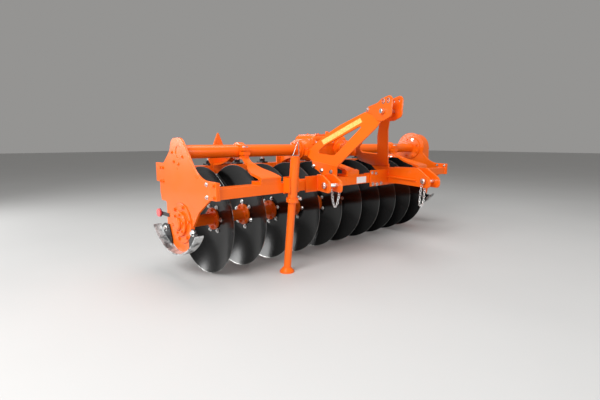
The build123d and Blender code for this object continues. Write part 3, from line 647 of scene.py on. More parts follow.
    def join(self, name: str, parts: Iterable[Object]) -> Object:
        """Joins pieces into one mesh, each with its finish.

        Args:
            name: the joined piece's name.
            parts: the pieces, which are removed.

        Returns:
            The joined piece.
        """
        parts = list(parts)
        mesh = bpy.data.meshes.new(name)
        work = bmesh.new()
        finishes: list[Material] = []
        for part in parts:
            start = len(work.faces)
            work.from_mesh(part.data)
            work.faces.ensure_lookup_table()
            used = list(part.data.materials)
            finishes += [material for material in used if material not in finishes]
            for face in work.faces[start:]:
                face.material_index = finishes.index(used[face.material_index])
        work.to_mesh(mesh)
        work.free()
        for material in finishes:
            mesh.materials.append(material)
        for part in parts:
            bpy.data.objects.remove(part)
        return self.piece(name, mesh)


# Repeated hardware, made by node trees


@dataclass
class NodeTree:
    """A geometry tree under construction."""

    name: str
    sizes: dict[str, float]
    tree: GeometryNodeTree = field(init=False)
    source: Node = field(init=False)

    def __post_init__(self) -> None:
        """Declares geometry in and out, the named sizes and the finish."""
        self.tree = bpy.data.node_groups.new(self.name, "GeometryNodeTree")
        for way in ("INPUT", "OUTPUT"):
            self.tree.interface.new_socket("Geometry", in_out=way, socket_type="NodeSocketGeometry")
        for label, value in self.sizes.items():
            socket = self.tree.interface.new_socket(label, in_out="INPUT", socket_type="NodeSocketFloat")
            socket.default_value = value
        self.tree.interface.new_socket("Finish", in_out="INPUT", socket_type="NodeSocketMaterial")
        self.source = self.tree.nodes.new("NodeGroupInput")

    def given(self, *labels: str) -> list[NodeSocket]:
        """The tree's own inputs, by name."""
        return [self.source.outputs[label] for label in labels]

    def put(self, kind: str, inputs: dict[str | int, object] | None = None, output: int = 0,
            **properties: object) -> NodeSocket:
        """Adds a node.

        Args:
            kind: the node's type name.
            inputs: values or sockets for its inputs, by name or index.
            output: which of its outputs is wanted.
            properties: the node's own settings.

        Returns:
            The wanted output.
        """
        node = self.tree.nodes.new(kind)
        for key, value in properties.items():
            setattr(node, key, value)
        for key, value in (inputs or {}).items():
            if isinstance(value, NodeSocket):
                self.tree.links.new(value, node.inputs[key])
            else:
                node.inputs[key].default_value = value
        return node.outputs[output]

    def math(self, operation: str, first: object, second: object) -> NodeSocket:
        """One arithmetic step."""
        return self.put("ShaderNodeMath", {0: first, 1: second}, operation=operation)

    def aim(self, way: NodeSocket, axis: str) -> NodeSocket:
        """The turn that lays one of an instance's axes along a vector."""
        return self.put("FunctionNodeAlignRotationToVector", {"Vector": way}, axis=axis)

    def roll(self, aimed: NodeSocket, axis: int, angle: NodeSocket) -> NodeSocket:
        """Adds a turn about one of the instance's own axes."""
        turn = self.put("FunctionNodeEulerToRotation", {0: self.put("ShaderNodeCombineXYZ", {axis: angle})})
        return self.put("FunctionNodeRotateRotation", {0: aimed, 1: turn}, rotation_space="LOCAL")

    def steps(self) -> tuple[NodeSocket, NodeSocket]:
        """Points one pitch apart along the carrier's line, and the turn that lays X along it.

        Returns:
            The points and the turn.
        """
        geometry, pitch = self.given("Geometry", "Pitch")
        line = self.put("GeometryNodeMeshToCurve", {"Mesh": geometry})
        points = self.put("GeometryNodeResampleCurve", {"Curve": line, "Length": pitch}, mode="LENGTH")
        return points, self.aim(self.put("GeometryNodeInputTangent"), "X")

    def close(self, points: NodeSocket, instance: NodeSocket, turn: NodeSocket,
              scale: object = (1.0, 1.0, 1.0)) -> GeometryNodeTree:
        """Sets the instance on the points, realizes it, gives it the finish and ends the tree.

        Args:
            points: where the instances sit.
            instance: what sits there.
            turn: how each is turned.
            scale: how large each is.

        Returns:
            The finished tree.
        """
        placed = self.put("GeometryNodeInstanceOnPoints",
                          {"Points": points, "Instance": instance, "Rotation": turn, "Scale": scale})
        real = self.put("GeometryNodeRealizeInstances", {"Geometry": placed})
        painted = self.put("GeometryNodeSetMaterial", {"Geometry": real, "Material": self.given("Finish")[0]})
        self.tree.links.new(painted, self.tree.nodes.new("NodeGroupOutput").inputs[0])
        return self.tree


@dataclass(frozen=True)
class Seat:
    """Where a fastener sits: its place, the way it faces and the radius over its hexagon's corners."""

    at: Vector
    facing: Vector
    girth: float


def bolt_circle(centre: Vector, facing: Vector, radius: float, count: int, girth: float,
                start: float = 0.0) -> list[Seat]:
    """Even seats on a circle round an axis along X."""
    return [Seat(p, facing, girth) for p in ring(centre, radius, count, start)]


class Head(Enum):
    """Kinds of fastener: (height of the hexagon, length of thread past it), in girths."""

    BOLT = (0.85, 0.0)
    NUT = (1.0, 0.75)


@dataclass
class Hardware:
    """Bolts, chain links and weld beads from three node trees."""

    shop: Workshop
    bolt_tree: GeometryNodeTree = field(init=False)
    chain_tree: GeometryNodeTree = field(init=False)
    weld_tree: GeometryNodeTree = field(init=False)

    def __post_init__(self) -> None:
        """Builds the trees."""
        self.bolt_tree = self._bolts()
        self.chain_tree = self._chain()
        self.weld_tree = self._weld()

    def _bolts(self) -> GeometryNodeTree:
        """Washer, chamfered hexagon and thread end on every point, turned by the point's facing.

        Returns:
            The finished tree.
        """
        t = NodeTree("bolt_rows", {"Head Height": 0.85, "Thread": 0.0, "Washer": 1.55,
                                   "Washer Thickness": 0.22})
        head, thread, washer, thick = t.given(*t.sizes)
        top = t.math("ADD", thick, head)
        solids = ((20, washer, thick, t.math("MULTIPLY", thick, 0.5)),
                  (6, 1.0, head, t.math("ADD", thick, t.math("MULTIPLY", head, 0.5))),
                  (12, 0.82, 0.16, top),
                  (12, 0.52, t.math("ADD", thread, 0.02),
                   t.math("ADD", top, t.math("MULTIPLY", thread, 0.5))))
        whole = t.tree.nodes.new("GeometryNodeJoinGeometry")
        for sides, radius, depth, height in solids:
            solid = t.put("GeometryNodeMeshCylinder", {"Vertices": sides, "Radius": radius, "Depth": depth})
            lift = t.put("ShaderNodeCombineXYZ", {2: height})
            placed = t.put("GeometryNodeTransform", {"Geometry": solid, "Translation": lift})
            t.tree.links.new(placed, whole.inputs[0])
        facing = t.put("GeometryNodeInputNamedAttribute", {"Name": "facing"}, data_type="FLOAT_VECTOR")
        girth = t.put("GeometryNodeInputNamedAttribute", {"Name": "girth"}, data_type="FLOAT")
        spin = t.put("FunctionNodeRandomValue", {2: 0.0, 3: math.pi / 3, "Seed": 7}, 1, data_type="FLOAT")
        return t.close(t.given("Geometry")[0], whole.outputs[0], t.roll(t.aim(facing, "Z"), 2, spin), girth)

    def _chain(self) -> GeometryNodeTree:
        """Oval links along a line, every second one turned a quarter.

        Returns:
            The finished tree.
        """
        t = NodeTree("chain_run", {"Pitch": 0.014, "Wire": 0.0022, "Link Width": 0.46})
        pitch, wire, width = t.given(*t.sizes)
        points, aimed = t.steps()
        long_half = t.math("MULTIPLY", t.math("ADD", pitch, wire), 0.56)
        oval = t.put("ShaderNodeCombineXYZ", {0: long_half, 1: t.math("MULTIPLY", pitch, width), 2: 1.0})
        round_link = t.put("GeometryNodeCurvePrimitiveCircle", {"Resolution": 12, "Radius": 1.0})
        shaped = t.put("GeometryNodeTransform", {"Geometry": round_link, "Scale": oval})
        section = t.put("GeometryNodeCurvePrimitiveCircle", {"Resolution": 6, "Radius": wire})
        link = t.put("GeometryNodeCurveToMesh", {"Curve": shaped, "Profile Curve": section})
        quarters = t.math("MULTIPLY", t.put("GeometryNodeInputIndex"), math.pi / 2)
        return t.close(points, link, t.roll(aimed, 0, quarters))

    def _weld(self) -> GeometryNodeTree:
        """Overlapping flat drops along a line, like the ripples of a weld.

        Returns:
            The finished tree.
        """
        t = NodeTree("weld_run", {"Pitch": 0.0036, "Bead": 0.004})
        points, aimed = t.steps()
        drop = t.put("GeometryNodeMeshUVSphere", {"Segments": 8, "Rings": 5, "Radius": t.given("Bead")[0]})
        flat = t.put("GeometryNodeTransform", {"Geometry": drop, "Scale": (0.75, 1.0, 1.0)})
        return t.close(points, flat, aimed)

    def _run(self, name: str, mesh: Mesh, tree: GeometryNodeTree, slot: Slot, **sizes: float) -> Object:
        """Runs a tree on a carrier mesh and keeps the result as a plain piece.

        Args:
            name: the piece's name.
            mesh: the carrier.
            tree: the node tree.
            slot: the finish.
            sizes: values for the tree's named sizes, spaces as underscores.

        Returns:
            The plain piece.
        """
        carrier = self.shop.piece(name, mesh)
        modifier = carrier.modifiers.new("tree", "NODES")
        modifier.node_group = tree
        values = {key.replace("_", " "): value for key, value in sizes.items()}
        values["Finish"] = self.shop.palette.slots[slot]
        for item in tree.interface.items_tree:
            if item.in_out == "INPUT" and item.name in values:
                modifier[item.identifier] = values[item.name]
        self.shop.settle(carrier)
        carrier.data.name = name
        return carrier

    def bolts(self, name: str, seats: Sequence[Seat], slot: Slot = Slot.ZINC, head: Head = Head.BOLT,
              body: str = "frame") -> Object:
        """Sets a fastener on every seat and mounts them on a body.

        Args:
            name: the piece's name.
            seats: their seats.
            slot: their finish.
            head: the kind of fastener.
            body: the body they ride on.

        Returns:
            The mounted piece.
        """
        mesh = bpy.data.meshes.new(name)
        mesh.from_pydata([seat.at for seat in seats], [], [])
        facing = mesh.attributes.new("facing", "FLOAT_VECTOR", "POINT")
        facing.data.foreach_set("vector", [c for seat in seats for c in seat.facing.normalized()])
        girth = mesh.attributes.new("girth", "FLOAT", "POINT")
        girth.data.foreach_set("value", [seat.girth for seat in seats])
        high, thread = head.value
        piece = self._run(name, mesh, self.bolt_tree, slot, Head_Height=high, Thread=thread)
        return self.shop.fit(piece, body, slot)

    def _line(self, name: str, points: Sequence[Vector]) -> Mesh:
        """A mesh of edges along points, to carry a chain or a weld.

        Args:
            name: the mesh's name.
            points: the line's points.

        Returns:
            The mesh.
        """
        mesh = bpy.data.meshes.new(name)
        mesh.from_pydata(list(points), [(k, k + 1) for k in range(len(points) - 1)], [])
        return mesh

    def chain(self, name: str, points: Sequence[Vector]) -> Object:
        """Hangs a chain on the frame along points.

        Args:
            name: the piece's name.
            points: the line that it hangs along.

        Returns:
            The mounted chain.
        """
        obj = self._run(name, self._line(name, points), self.chain_tree, Slot.ZINC)
        smooth(obj.data)
        return self.shop.fit(obj, "frame", Slot.ZINC)

    def weld(self, name: str, runs: Sequence[Sequence[Vector]], bead: float = 0.004) -> Object:
        """Lays weld beads on the frame along runs of points.

        Args:
            name: the piece's name.
            runs: the points of each run.
            bead: the bead's radius.

        Returns:
            The mounted beads.
        """
        parts = []
        for k, run in enumerate(runs):
            part = self._run(f"{name}_{k}", self._line(name, run), self.weld_tree, Slot.ORANGE,
                             Pitch=bead * 0.9, Bead=bead)
            smooth(part.data)
            parts.append(part)
        return self.shop.fit(self.shop.join(name, parts), "frame", Slot.ORANGE)


# Sub-assemblies


@dataclass
class Section:
    """A sub-assembly, with the workshop and the hardware that make it."""

    shop: Workshop
    kit: Hardware

    def dress(self, *nodes: str, slot: Slot = Slot.ORANGE, edge: float = 0.0015, body: str = "frame",
              finish: Material | None = None) -> None:
        """Dresses CAD nodes that share a finish and the width of the broken edge.

        Args:
            nodes: the nodes' names.
            slot: their finish.
            edge: width of the broken edge.
            body: the body they ride on.
            finish: a finish of their own, where the slot's isn't the one.
        """
        for node in nodes:
            self.shop.dress(node, body, slot, edge, finish)

    def turned(self, name: str, profile: Sequence[Pair], origin: Vector, axis: Vector, segments: int,
               slot: Slot = Slot.ZINC) -> Object:
        """Turns a loose profile, to be joined or mounted."""
        return self.shop.lathe(name, profile, origin, axis, segments, slot)

    def mount(self, name: str, parts: Iterable[Object], slot: Slot, *nodes: str, body: str = "frame") -> None:
        """Joins pieces into one and mounts it on its body."""
        self.shop.fit(self.shop.join(name, parts), body, slot, *nodes)


@dataclass
class SideFrames(Section):
    """Side plates, beams, tube and clamps: welded steel in gloss orange."""

    plain: tuple[str, ...] = ("side_plate_left", "side_plate_right", "drive_flange", "front_beam",
                              "front_beam_flanges", "rear_beam", "rear_beam_flanges", "clamp_arms",
                              "clamp_caps", "rear_hangers")
    painted_bolts: tuple[Point, ...] = (
        (-34, 668, 6.5), (12, 628, 6.5), (66, 640, 6.5), (84, 690, 6.5), (206, 600, 7.0), (236, 600, 7.0),
        (210, 522, 7.0), (238, 522, 7.0), (-340, 538, 7.5), (-340, 478, 7.5))
    plated_bolts: tuple[Point, ...] = ((-276, 540, 7.5), (-276, 476, 7.5))
    flange_reach: Pair = (180.0, 610.0)
    beam_flange: float = 0.010
    tube_r: float = 0.038
    tube_wall: float = 0.006
    collar: float = 0.016
    bevel: float = 0.002
    weld_r: float = 0.039
    weld_points: int = 40
    weld_in: float = 0.001
    drive_ring: tuple[float, int, float, float] = (0.080, 8, 0.0095, math.pi / 8)
    arm_x: Pair = (395.0, 1987.0)
    ear: Point = (12.0, 62.0, 714.0)
    ear_girth: float = 0.008

    def build(self) -> None:
        """Dresses the nodes and adds the fasteners."""
        self.dress(*self.plain)
        self.tubes()
        self.plates()
        self.welds()
        half, apart, top = self.ear
        seats = [Seat(gang(x + dx, TUBE_Y + dy, top), AX_Z, self.ear_girth)
                 for x in self.arm_x for dy in (-apart, apart) for dx in (-half, half)]
        self.kit.bolts("clamp_bolts", seats)

    def tubes(self) -> None:
        """Smooth round tubes with their gearbox flanges."""
        b, r, collar, inner = self.bevel, self.tube_r, self.collar, self.tube_r - self.tube_wall
        for node in ("main_tube_left", "main_tube_right"):
            low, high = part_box(node)
            length, flange = high.x - low.x, (high.z - low.z) / 2
            if node == "main_tube_right":
                profile = [(0, inner), (0, flange - b), (b, flange), (collar - b, flange),
                           (collar, flange - b), (collar, r), (length, r), (length, inner)]
            else:
                profile = [(0.003, 0), (0.003, inner - 0.001), (0.002, inner), (0.0008, inner),
                           (0, inner + 0.001), (0, r), (length - collar, r), (length - collar, flange - b),
                           (length - collar + b, flange), (length - b, flange), (length, flange - b),
                           (length, inner), (0.009, inner), (0.009, 0)]
            centre = Vector((low.x, (low.y + high.y) / 2, (low.z + high.z) / 2))
            obj = self.turned(f"{node}_skin", profile, centre, AX_X, 72, Slot.ORANGE)
            self.shop.fit(obj, "frame", Slot.ORANGE, node)

    def plates(self) -> None:
        """Bolt heads outside the left plate, and nuts inside both on the beams' flanges."""
        side, top = self.flange_reach
        nuts = []
        for y, z, girth in self.painted_bolts + self.plated_bolts:
            if z < top and abs(y) > side:
                nuts.append(Seat(gang(0, y, z) + AX_X * (PLATE + self.beam_flange), AX_X, girth / 1000))
                right = Vector((RIGHT_X - PLATE - self.beam_flange, AXIS_Y + y / 1000, z / 1000))
                nuts.append(Seat(right, -AX_X, girth / 1000))
        for name, rows, slot in (("painted_bolts", self.painted_bolts, Slot.ORANGE),
                                 ("plated_bolts", self.plated_bolts, Slot.ZINC)):
            self.kit.bolts(name, [Seat(gang(0, y, z), -AX_X, girth / 1000) for y, z, girth in rows], slot)
        self.kit.bolts("plate_nuts", nuts, head=Head.NUT)

    def welds(self) -> None:
        """Beads round the tube and the beams' ends, and the bolts of the tube's flange at the drive end."""
        low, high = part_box("main_tube_left")
        y, z = (low.y + high.y) / 2, (low.z + high.z) / 2
        runs = [ring(Vector((x, y, z)), self.weld_r, self.weld_points)
                for x in (LEFT_X + PLATE + self.weld_in, high.x - self.collar - self.weld_in / 2)]
        for node in ("front_beam", "rear_beam"):
            first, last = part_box(node)
            corners = ((first.y, first.z), (first.y, last.z), (last.y, last.z), (last.y, first.z),
                       (first.y, first.z))
            runs += [[Vector((x, *corner)) for corner in corners]
                     for x in (first.x + self.weld_in, last.x - self.weld_in)]
        self.kit.weld("frame_welds", runs)
        seats = bolt_circle(Vector((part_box("drive_flange")[0].x, y, z)), -AX_X, *self.drive_ring)
        self.kit.bolts("drive_flange_bolts", seats[1:], Slot.ORANGE)
        self.kit.bolts("drive_flange_stud", seats[:1], head=Head.NUT)


@dataclass
class Gearbox(Section):
    """Cast housing with its cover, ties and saddle."""

    collar: float = 0.016
    cast_edge: float = 0.002
    shaft_edge: float = 0.0006
    tube_ring: tuple[float, int, float, float] = (0.050, 8, 0.0075, 0.2)
    lid_z: float = 0.010
    lid_x: Point = (0.13, 0.5, 0.87)
    lid_y: Pair = (0.10, 0.90)
    lid_girth: float = 0.006
    split_x: Pair = (986.0, 59.0)
    split_y: Pair = (-63.0, 143.0)
    split_z: float = TUBE_Z + 50
    split_count: int = 6
    split_girth: float = 0.0062

    def build(self) -> None:
        """Dresses the housing and bolts its joints."""
        self.dress("gearbox_housing", "gearbox_cover", edge=self.cast_edge)
        self.dress("gearbox_ties", "gearbox_saddle")
        low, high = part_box("main_tube_left")
        y, z = (low.y + high.y) / 2, (low.z + high.z) / 2
        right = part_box("main_tube_right")[0].x + self.collar
        seats = bolt_circle(Vector((high.x - self.collar, y, z)), -AX_X, *self.tube_ring)
        seats += bolt_circle(Vector((right, y, z)), AX_X, *self.tube_ring)
        low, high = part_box("gearbox_cover")
        wide, deep = high.x - low.x, high.y - low.y
        seats += [Seat(Vector((low.x + wide * x, low.y + deep * y, low.z + self.lid_z)), AX_Z, self.lid_girth)
                  for x in self.lid_x for y in self.lid_y]
        self.kit.bolts("gearbox_bolts", seats, Slot.ORANGE)
        start, step = self.split_x
        seats = [Seat(gang(start + k * step, y, self.split_z), AX_Z, self.split_girth)
                 for k in range(self.split_count) for y in self.split_y]
        self.kit.bolts("split_flange_bolts", seats)
        self.dress("pto_input_shaft", slot=Slot.BARE, edge=self.shaft_edge, body="pto_shaft")


@dataclass
class Mast(Section):
    """Inclined windowed plates, upright heads and what holds them together."""

    low_bolts: tuple[Pair, ...] = ((-160, 588), (-231, 563), (-313, 558))
    low_face: float = 866.0
    head_bolt: Pair = (-142.0, 944.0)
    head_face: float = 40.0
    girth: float = 0.009
    pin_place: Pair = (34.0, 922.0)
    pin_from: float = -62.0
    clip_at: float = 50.0
    clip_reach: float = 0.018
    facets: int = 32
    hole_places: tuple[Pair, ...] = ((30.0, 978.0), (80.0, 978.0))
    plane: tuple[Point, ...] = ((902, -50, 678), (869, -351, 594), (1009, -467, 928))
    band: tuple[Point, ...] = ((924, -194, 729), (935, -162, 755), (994, -435, 893), (984, -461, 867))

    def build(self) -> None:
        """Dresses the plates and adds bolts, pin and the blank strip."""
        self.dress("mast_plate_left", "mast_plate_right", "mast_heads", "mast_bases", "mast_spacer",
                   "mast_rear_feet")
        seats = [Seat(gang(self.low_face, y, z), -AX_X, self.girth) for y, z in self.low_bolts]
        seats += [Seat(hitch(side * self.head_face, *self.head_bolt), HITCH_U * side, self.girth)
                  for side in (-1, 1)]
        self.kit.bolts("mast_bolts", seats)
        self.collars()
        self.pin()
        self.strip()

    def collars(self) -> None:
        """Bare steel rings pressed round the two free holes of each head."""
        profile = [(0, 0.0103), (0, 0.0145), (0.0015, 0.0155), (0.0025, 0.0150), (0.0030, 0.0140),
                   (0.0030, 0.0103)]
        rings = [self.turned("collar", profile, hitch(side * self.head_face, a, z), HITCH_U * side,
                             self.facets, Slot.BARE) for a, z in self.hole_places for side in (-1, 1)]
        self.mount("head_collars", rings, Slot.BARE)

    def pin(self) -> None:
        """Top link pin with its head and linch clip."""
        profile = [(0, 0), (0, 0.013), (0.002, 0.015), (0.0205, 0.015), (0.0215, 0.0094), (0.117, 0.0094),
                   (0.120, 0.007), (0.120, 0)]
        start = hitch(self.pin_from, *self.pin_place)
        body = self.turned("top_link_pin_round", profile, start, HITCH_U, self.facets)
        self.shop.fit(body, "frame", Slot.ZINC, "top_link_pin")
        clip = LinchClip(self.shop, hitch(self.clip_at, *self.pin_place), self.clip_reach)
        self.shop.fit(clip.build("top_pin_clip"), "frame", Slot.ZINC)

    def strip(self) -> None:
        """Plain yellow band along the left plate's upper limb."""
        plane = [gang(*p) for p in self.plane]
        normal = (plane[1] - plane[0]).cross(plane[2] - plane[0]).normalized()
        if normal.x > 0:
            normal = -normal
        corners = [gang(*p) for p in self.band]
        flat = [corner - normal * (corner - plane[0]).dot(normal) for corner in corners]
        self.shop.label("mast_strip", flat, normal, self.shop.palette.yellow)


@dataclass
class LinchClip:
    """Ring clip through the end of a pin across the hitch."""

    shop: Workshop
    at: Vector
    reach: float
    wire: float = 0.0022
    bar: float = 0.004
    facets: int = 16
    steps: int = 3

    def build(self, name: str) -> Object:
        """Makes the round spring and the short bar through the pin.

        Args:
            name: the piece's name.

        Returns:
            The clip, not yet mounted.
        """
        side = HITCH_U.cross(AX_Z).normalized()
        loop = [self.at + side * self.reach * math.cos(t) + AX_Z * self.reach * math.sin(t)
                for t in (2 * math.pi * k / self.facets for k in range(self.facets))]
        spring = self.shop.wire(name, loop, self.wire, Slot.ZINC, self.steps)
        profile = [(-self.reach, 0), (-self.reach, self.bar), (self.reach, self.bar), (self.reach, 0)]
        bar = self.shop.lathe(name, profile, self.at, AX_Z, self.facets, Slot.ZINC)
        return self.shop.join(name, (spring, bar))


@dataclass
class Hitch(Section):
    """Clevises, lower link pins, their clips and safety chains."""

    pin_z: float = 500.0
    pin_r: float = 0.0108
    pin_facets: int = 36
    clip_reach: float = 0.021
    face_girth: float = 0.0085
    foot_slope: float = 0.41
    bead: float = 0.0035
    pins: tuple[Pair, ...] = ((-398, -292), (286, 398))
    clips: Pair = (-296, 391)
    face_bolts: tuple[Pair, ...] = ((1243, 535), (1284, 530), (1249, 457), (1297, 452), (1345, 457),
                                    (1545, 452), (1545, 535))
    patch: tuple[Pair, ...] = ((1082, 472), (1184, 472), (1184, 514), (1082, 514))
    plates: tuple[tuple[float, ...], ...] = ((-384, 12, 462, 552), (-300, -12, 462, 552), (300, 12, 452, 556),
                                             (384, -12, 452, 556))
    left_chain: tuple[Point, ...] = ((-296, -4, 482), (-302, 0, 440), (-310, 0, 400), (-320, 0, 374),
                                     (-331, 0, 376), (-338, -2, 402), (-341, -8, 440), (-341, -12, 470))
    right_chain: tuple[Point, ...] = ((276, 0, 468), (272, 0, 430), (268, 0, 390), (269, 0, 352),
                                      (282, 0, 342), (295, 0, 352), (299, 0, 390), (302, 0, 430),
                                      (303, 0, 448))

    def build(self) -> None:
        """Dresses the clevises and adds the loose hardware."""
        self.dress("hitch_bracket_left", "hitch_bracket_right")
        parts = []
        for u0, u1 in self.pins:
            end = (u1 - u0) / 1000
            profile = [(-0.008, 0), (-0.008, 0.016), (-0.006, 0.018), (0.003, 0.018), (0.004, self.pin_r),
                       (end - 0.003, self.pin_r), (end, 0.008), (end, 0)]
            parts.append(self.turned("pin", profile, hitch(u0, 0, self.pin_z), HITCH_U, self.pin_facets))
        self.mount("lower_pins_round", parts, Slot.ZINC, "lower_hitch_pins")
        clips = [LinchClip(self.shop, hitch(u, 0, self.pin_z), self.clip_reach).build("clip")
                 for u in self.clips]
        self.mount("linch_clips", clips, Slot.ZINC)
        self.faces()
        for name, points in (("left_chain", self.left_chain), ("right_chain", self.right_chain)):
            self.kit.chain(name, [hitch(*p) for p in points])

    def faces(self) -> None:
        """Bolts on the right bracket's face plate, a blank label on the beam and the plates' welds."""
        face = BEAM_Y - BRACKET_FACE
        seats = [Seat(gang(x, face, z), -AX_Y, self.face_girth) for x, z in self.face_bolts]
        self.kit.bolts("bracket_bolts", seats)
        corners = [gang(x, BEAM_Y, z) for x, z in self.patch]
        self.shop.label("beam_label", corners, -AX_Y, self.shop.palette.white)
        runs = []
        for u, thick, low, high in self.plates:
            a = -(face - HITCH_Y + HITCH_SIN * u) / HITCH_COS
            runs += [[hitch(u + side, a - self.foot_slope * side, z) for z in (low, high)]
                     for side in (0, thick)]
        self.kit.weld("bracket_welds", runs, self.bead)


@dataclass
class Discs(Section):
    """The driven gang: dished discs between flanged spools on one shaft."""

    count: int = 10
    first: float = 133.0
    pitch: float = 213.4
    depth: float = 0.070
    thick: float = 0.005
    bevel: float = 0.012
    edge: float = 0.0012
    flat: float = 0.092
    step: float = 0.004
    steps: int = 14
    flange: float = 0.012
    flange_r: float = 0.064
    end_r: float = 0.040
    spool_r: float = 0.033
    fillet: float = 0.0035
    chamfer: float = 0.0015
    ends: Pair = (0.022, 0.018)
    disc_facets: int = 120
    spool_facets: int = 64
    sharp: float = 25.0
    ring_bolts: int = 6
    spool_ring: float = 0.050
    disc_ring: float = 0.078
    girth: float = 0.0085
    twist: float = 0.37
    lag: float = 0.5

    @classmethod
    def place(cls, k: int) -> float:
        """Where disc k's rim stands along the gang, in millimetres."""
        return cls.first + k * cls.pitch

    def sag(self, r: float) -> float:
        """Depth of the dish behind the rim plane at radius r."""
        sphere = (RIM ** 2 + self.depth ** 2) / (2 * self.depth)
        return math.sqrt(sphere ** 2 - r ** 2) - math.sqrt(sphere ** 2 - RIM ** 2)

    def build(self) -> None:
        """Makes the discs, spools, shaft and bolts, all on the rotor."""
        land, hub = RIM - self.bevel, self.sag(self.flat)
        radii = [RIM - (RIM - self.flat) * k / self.steps for k in range(self.steps + 1)]
        profile = [(self.edge, RIM)] + [(self.sag(r), r) for r in radii]
        profile += [(hub, self.flat - self.step), (hub, SHAFT_R), (hub + self.thick, SHAFT_R),
                    (hub + self.thick, self.flat - self.step)]
        profile += [(self.sag(r) + self.thick, r) for r in reversed(radii) if r < land - 0.001]
        profile += [(self.sag(land) + self.thick, land)]
        centres = [gang(self.place(k), 0, AXIS_Z * 1000) for k in range(self.count)]
        discs = [self.shop.lathe("disc", profile, centre, AX_X, self.disc_facets, Slot.DISC, self.sharp)
                 for centre in centres]
        self.mount("dished_discs", discs, Slot.DISC, "discs", body="rotor")
        self.spools(centres, hub)
        self.bolts(centres, hub)
        self.dress("rotor_shaft", slot=Slot.BARE, edge=0.0, body="rotor")

    def spools(self, centres: Sequence[Vector], hub: float) -> None:
        """Tubes with a flange at each end, from the left bearing through the discs to the right one.

        Args:
            centres: the middle of each disc's rim plane.
            hub: how far its flat middle lies behind that plane.
        """
        left, right = self.ends
        edges = [LEFT_X + left] + [c.x + hub for c in centres] + [RIGHT_X - PLATE - right]
        t, c, r, f = self.flange, self.chamfer, self.spool_r, self.fillet
        parts = []
        for k in range(self.count + 1):
            start = edges[k] + (self.thick if k else 0.0)
            end = edges[k + 1] - start
            first = self.flange_r if k else self.end_r
            last = self.flange_r if k < self.count else self.end_r
            profile = [(0, SHAFT_R), (0, first - c), (c, first), (t - c, first), (t, first - c), (t, r + f),
                       (t + f, r), (end - t - f, r), (end - t, r + f), (end - t, last - c),
                       (end - t + c, last), (end - c, last), (end, last - c), (end, SHAFT_R)]
            place = Vector((start, AXIS_Y, AXIS_Z))
            parts.append(self.turned("spool", profile, place, AX_X, self.spool_facets, Slot.ORANGE))
        self.mount("flanged_spools", parts, Slot.ORANGE, "rotor_spools", body="rotor")

    def bolts(self, centres: Sequence[Vector], hub: float) -> None:
        """Bolts through each pair of flanges and through the disc's middle.

        Args:
            centres: the middle of each disc's rim plane.
            hub: how far its flat middle lies behind that plane.
        """
        back = hub + self.thick
        faces = (("spool_bolts", -AX_X, hub - self.flange, self.spool_ring, 0.0, Slot.ORANGE, Head.BOLT),
                 ("spool_nuts", AX_X, back + self.flange, self.spool_ring, 0.0, Slot.ORANGE, Head.NUT),
                 ("disc_bolts", -AX_X, hub, self.disc_ring, self.lag, Slot.ZINC, Head.BOLT),
                 ("disc_nuts", AX_X, back, self.disc_ring, self.lag, Slot.ZINC, Head.NUT))
        for name, facing, along, radius, start, slot, head in faces:
            seats = []
            for k, centre in enumerate(centres):
                seats += bolt_circle(centre + AX_X * along, facing, radius, self.ring_bolts, self.girth,
                                     k * self.twist + start)
            self.kit.bolts(name, seats, slot, head, "rotor")


@dataclass
class Scrapers(Section):
    """Scraper blades on the rear beam."""

    nut_y: float = 230.0
    before_rim: float = 32.0
    girth: float = 0.0105

    def build(self) -> None:
        """Dresses the blades and clamps and bolts them down."""
        self.dress("scraper_blades", slot=Slot.BLACK, edge=0.001)
        self.dress("scraper_clamps", slot=Slot.BLACK)
        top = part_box("scraper_clamps")[1].z * 1000
        seats = [Seat(gang(Discs.place(k) - self.before_rim, self.nut_y, top), AX_Z, self.girth)
                 for k in range(Discs.count)]
        self.kit.bolts("scraper_nuts", seats, head=Head.NUT)


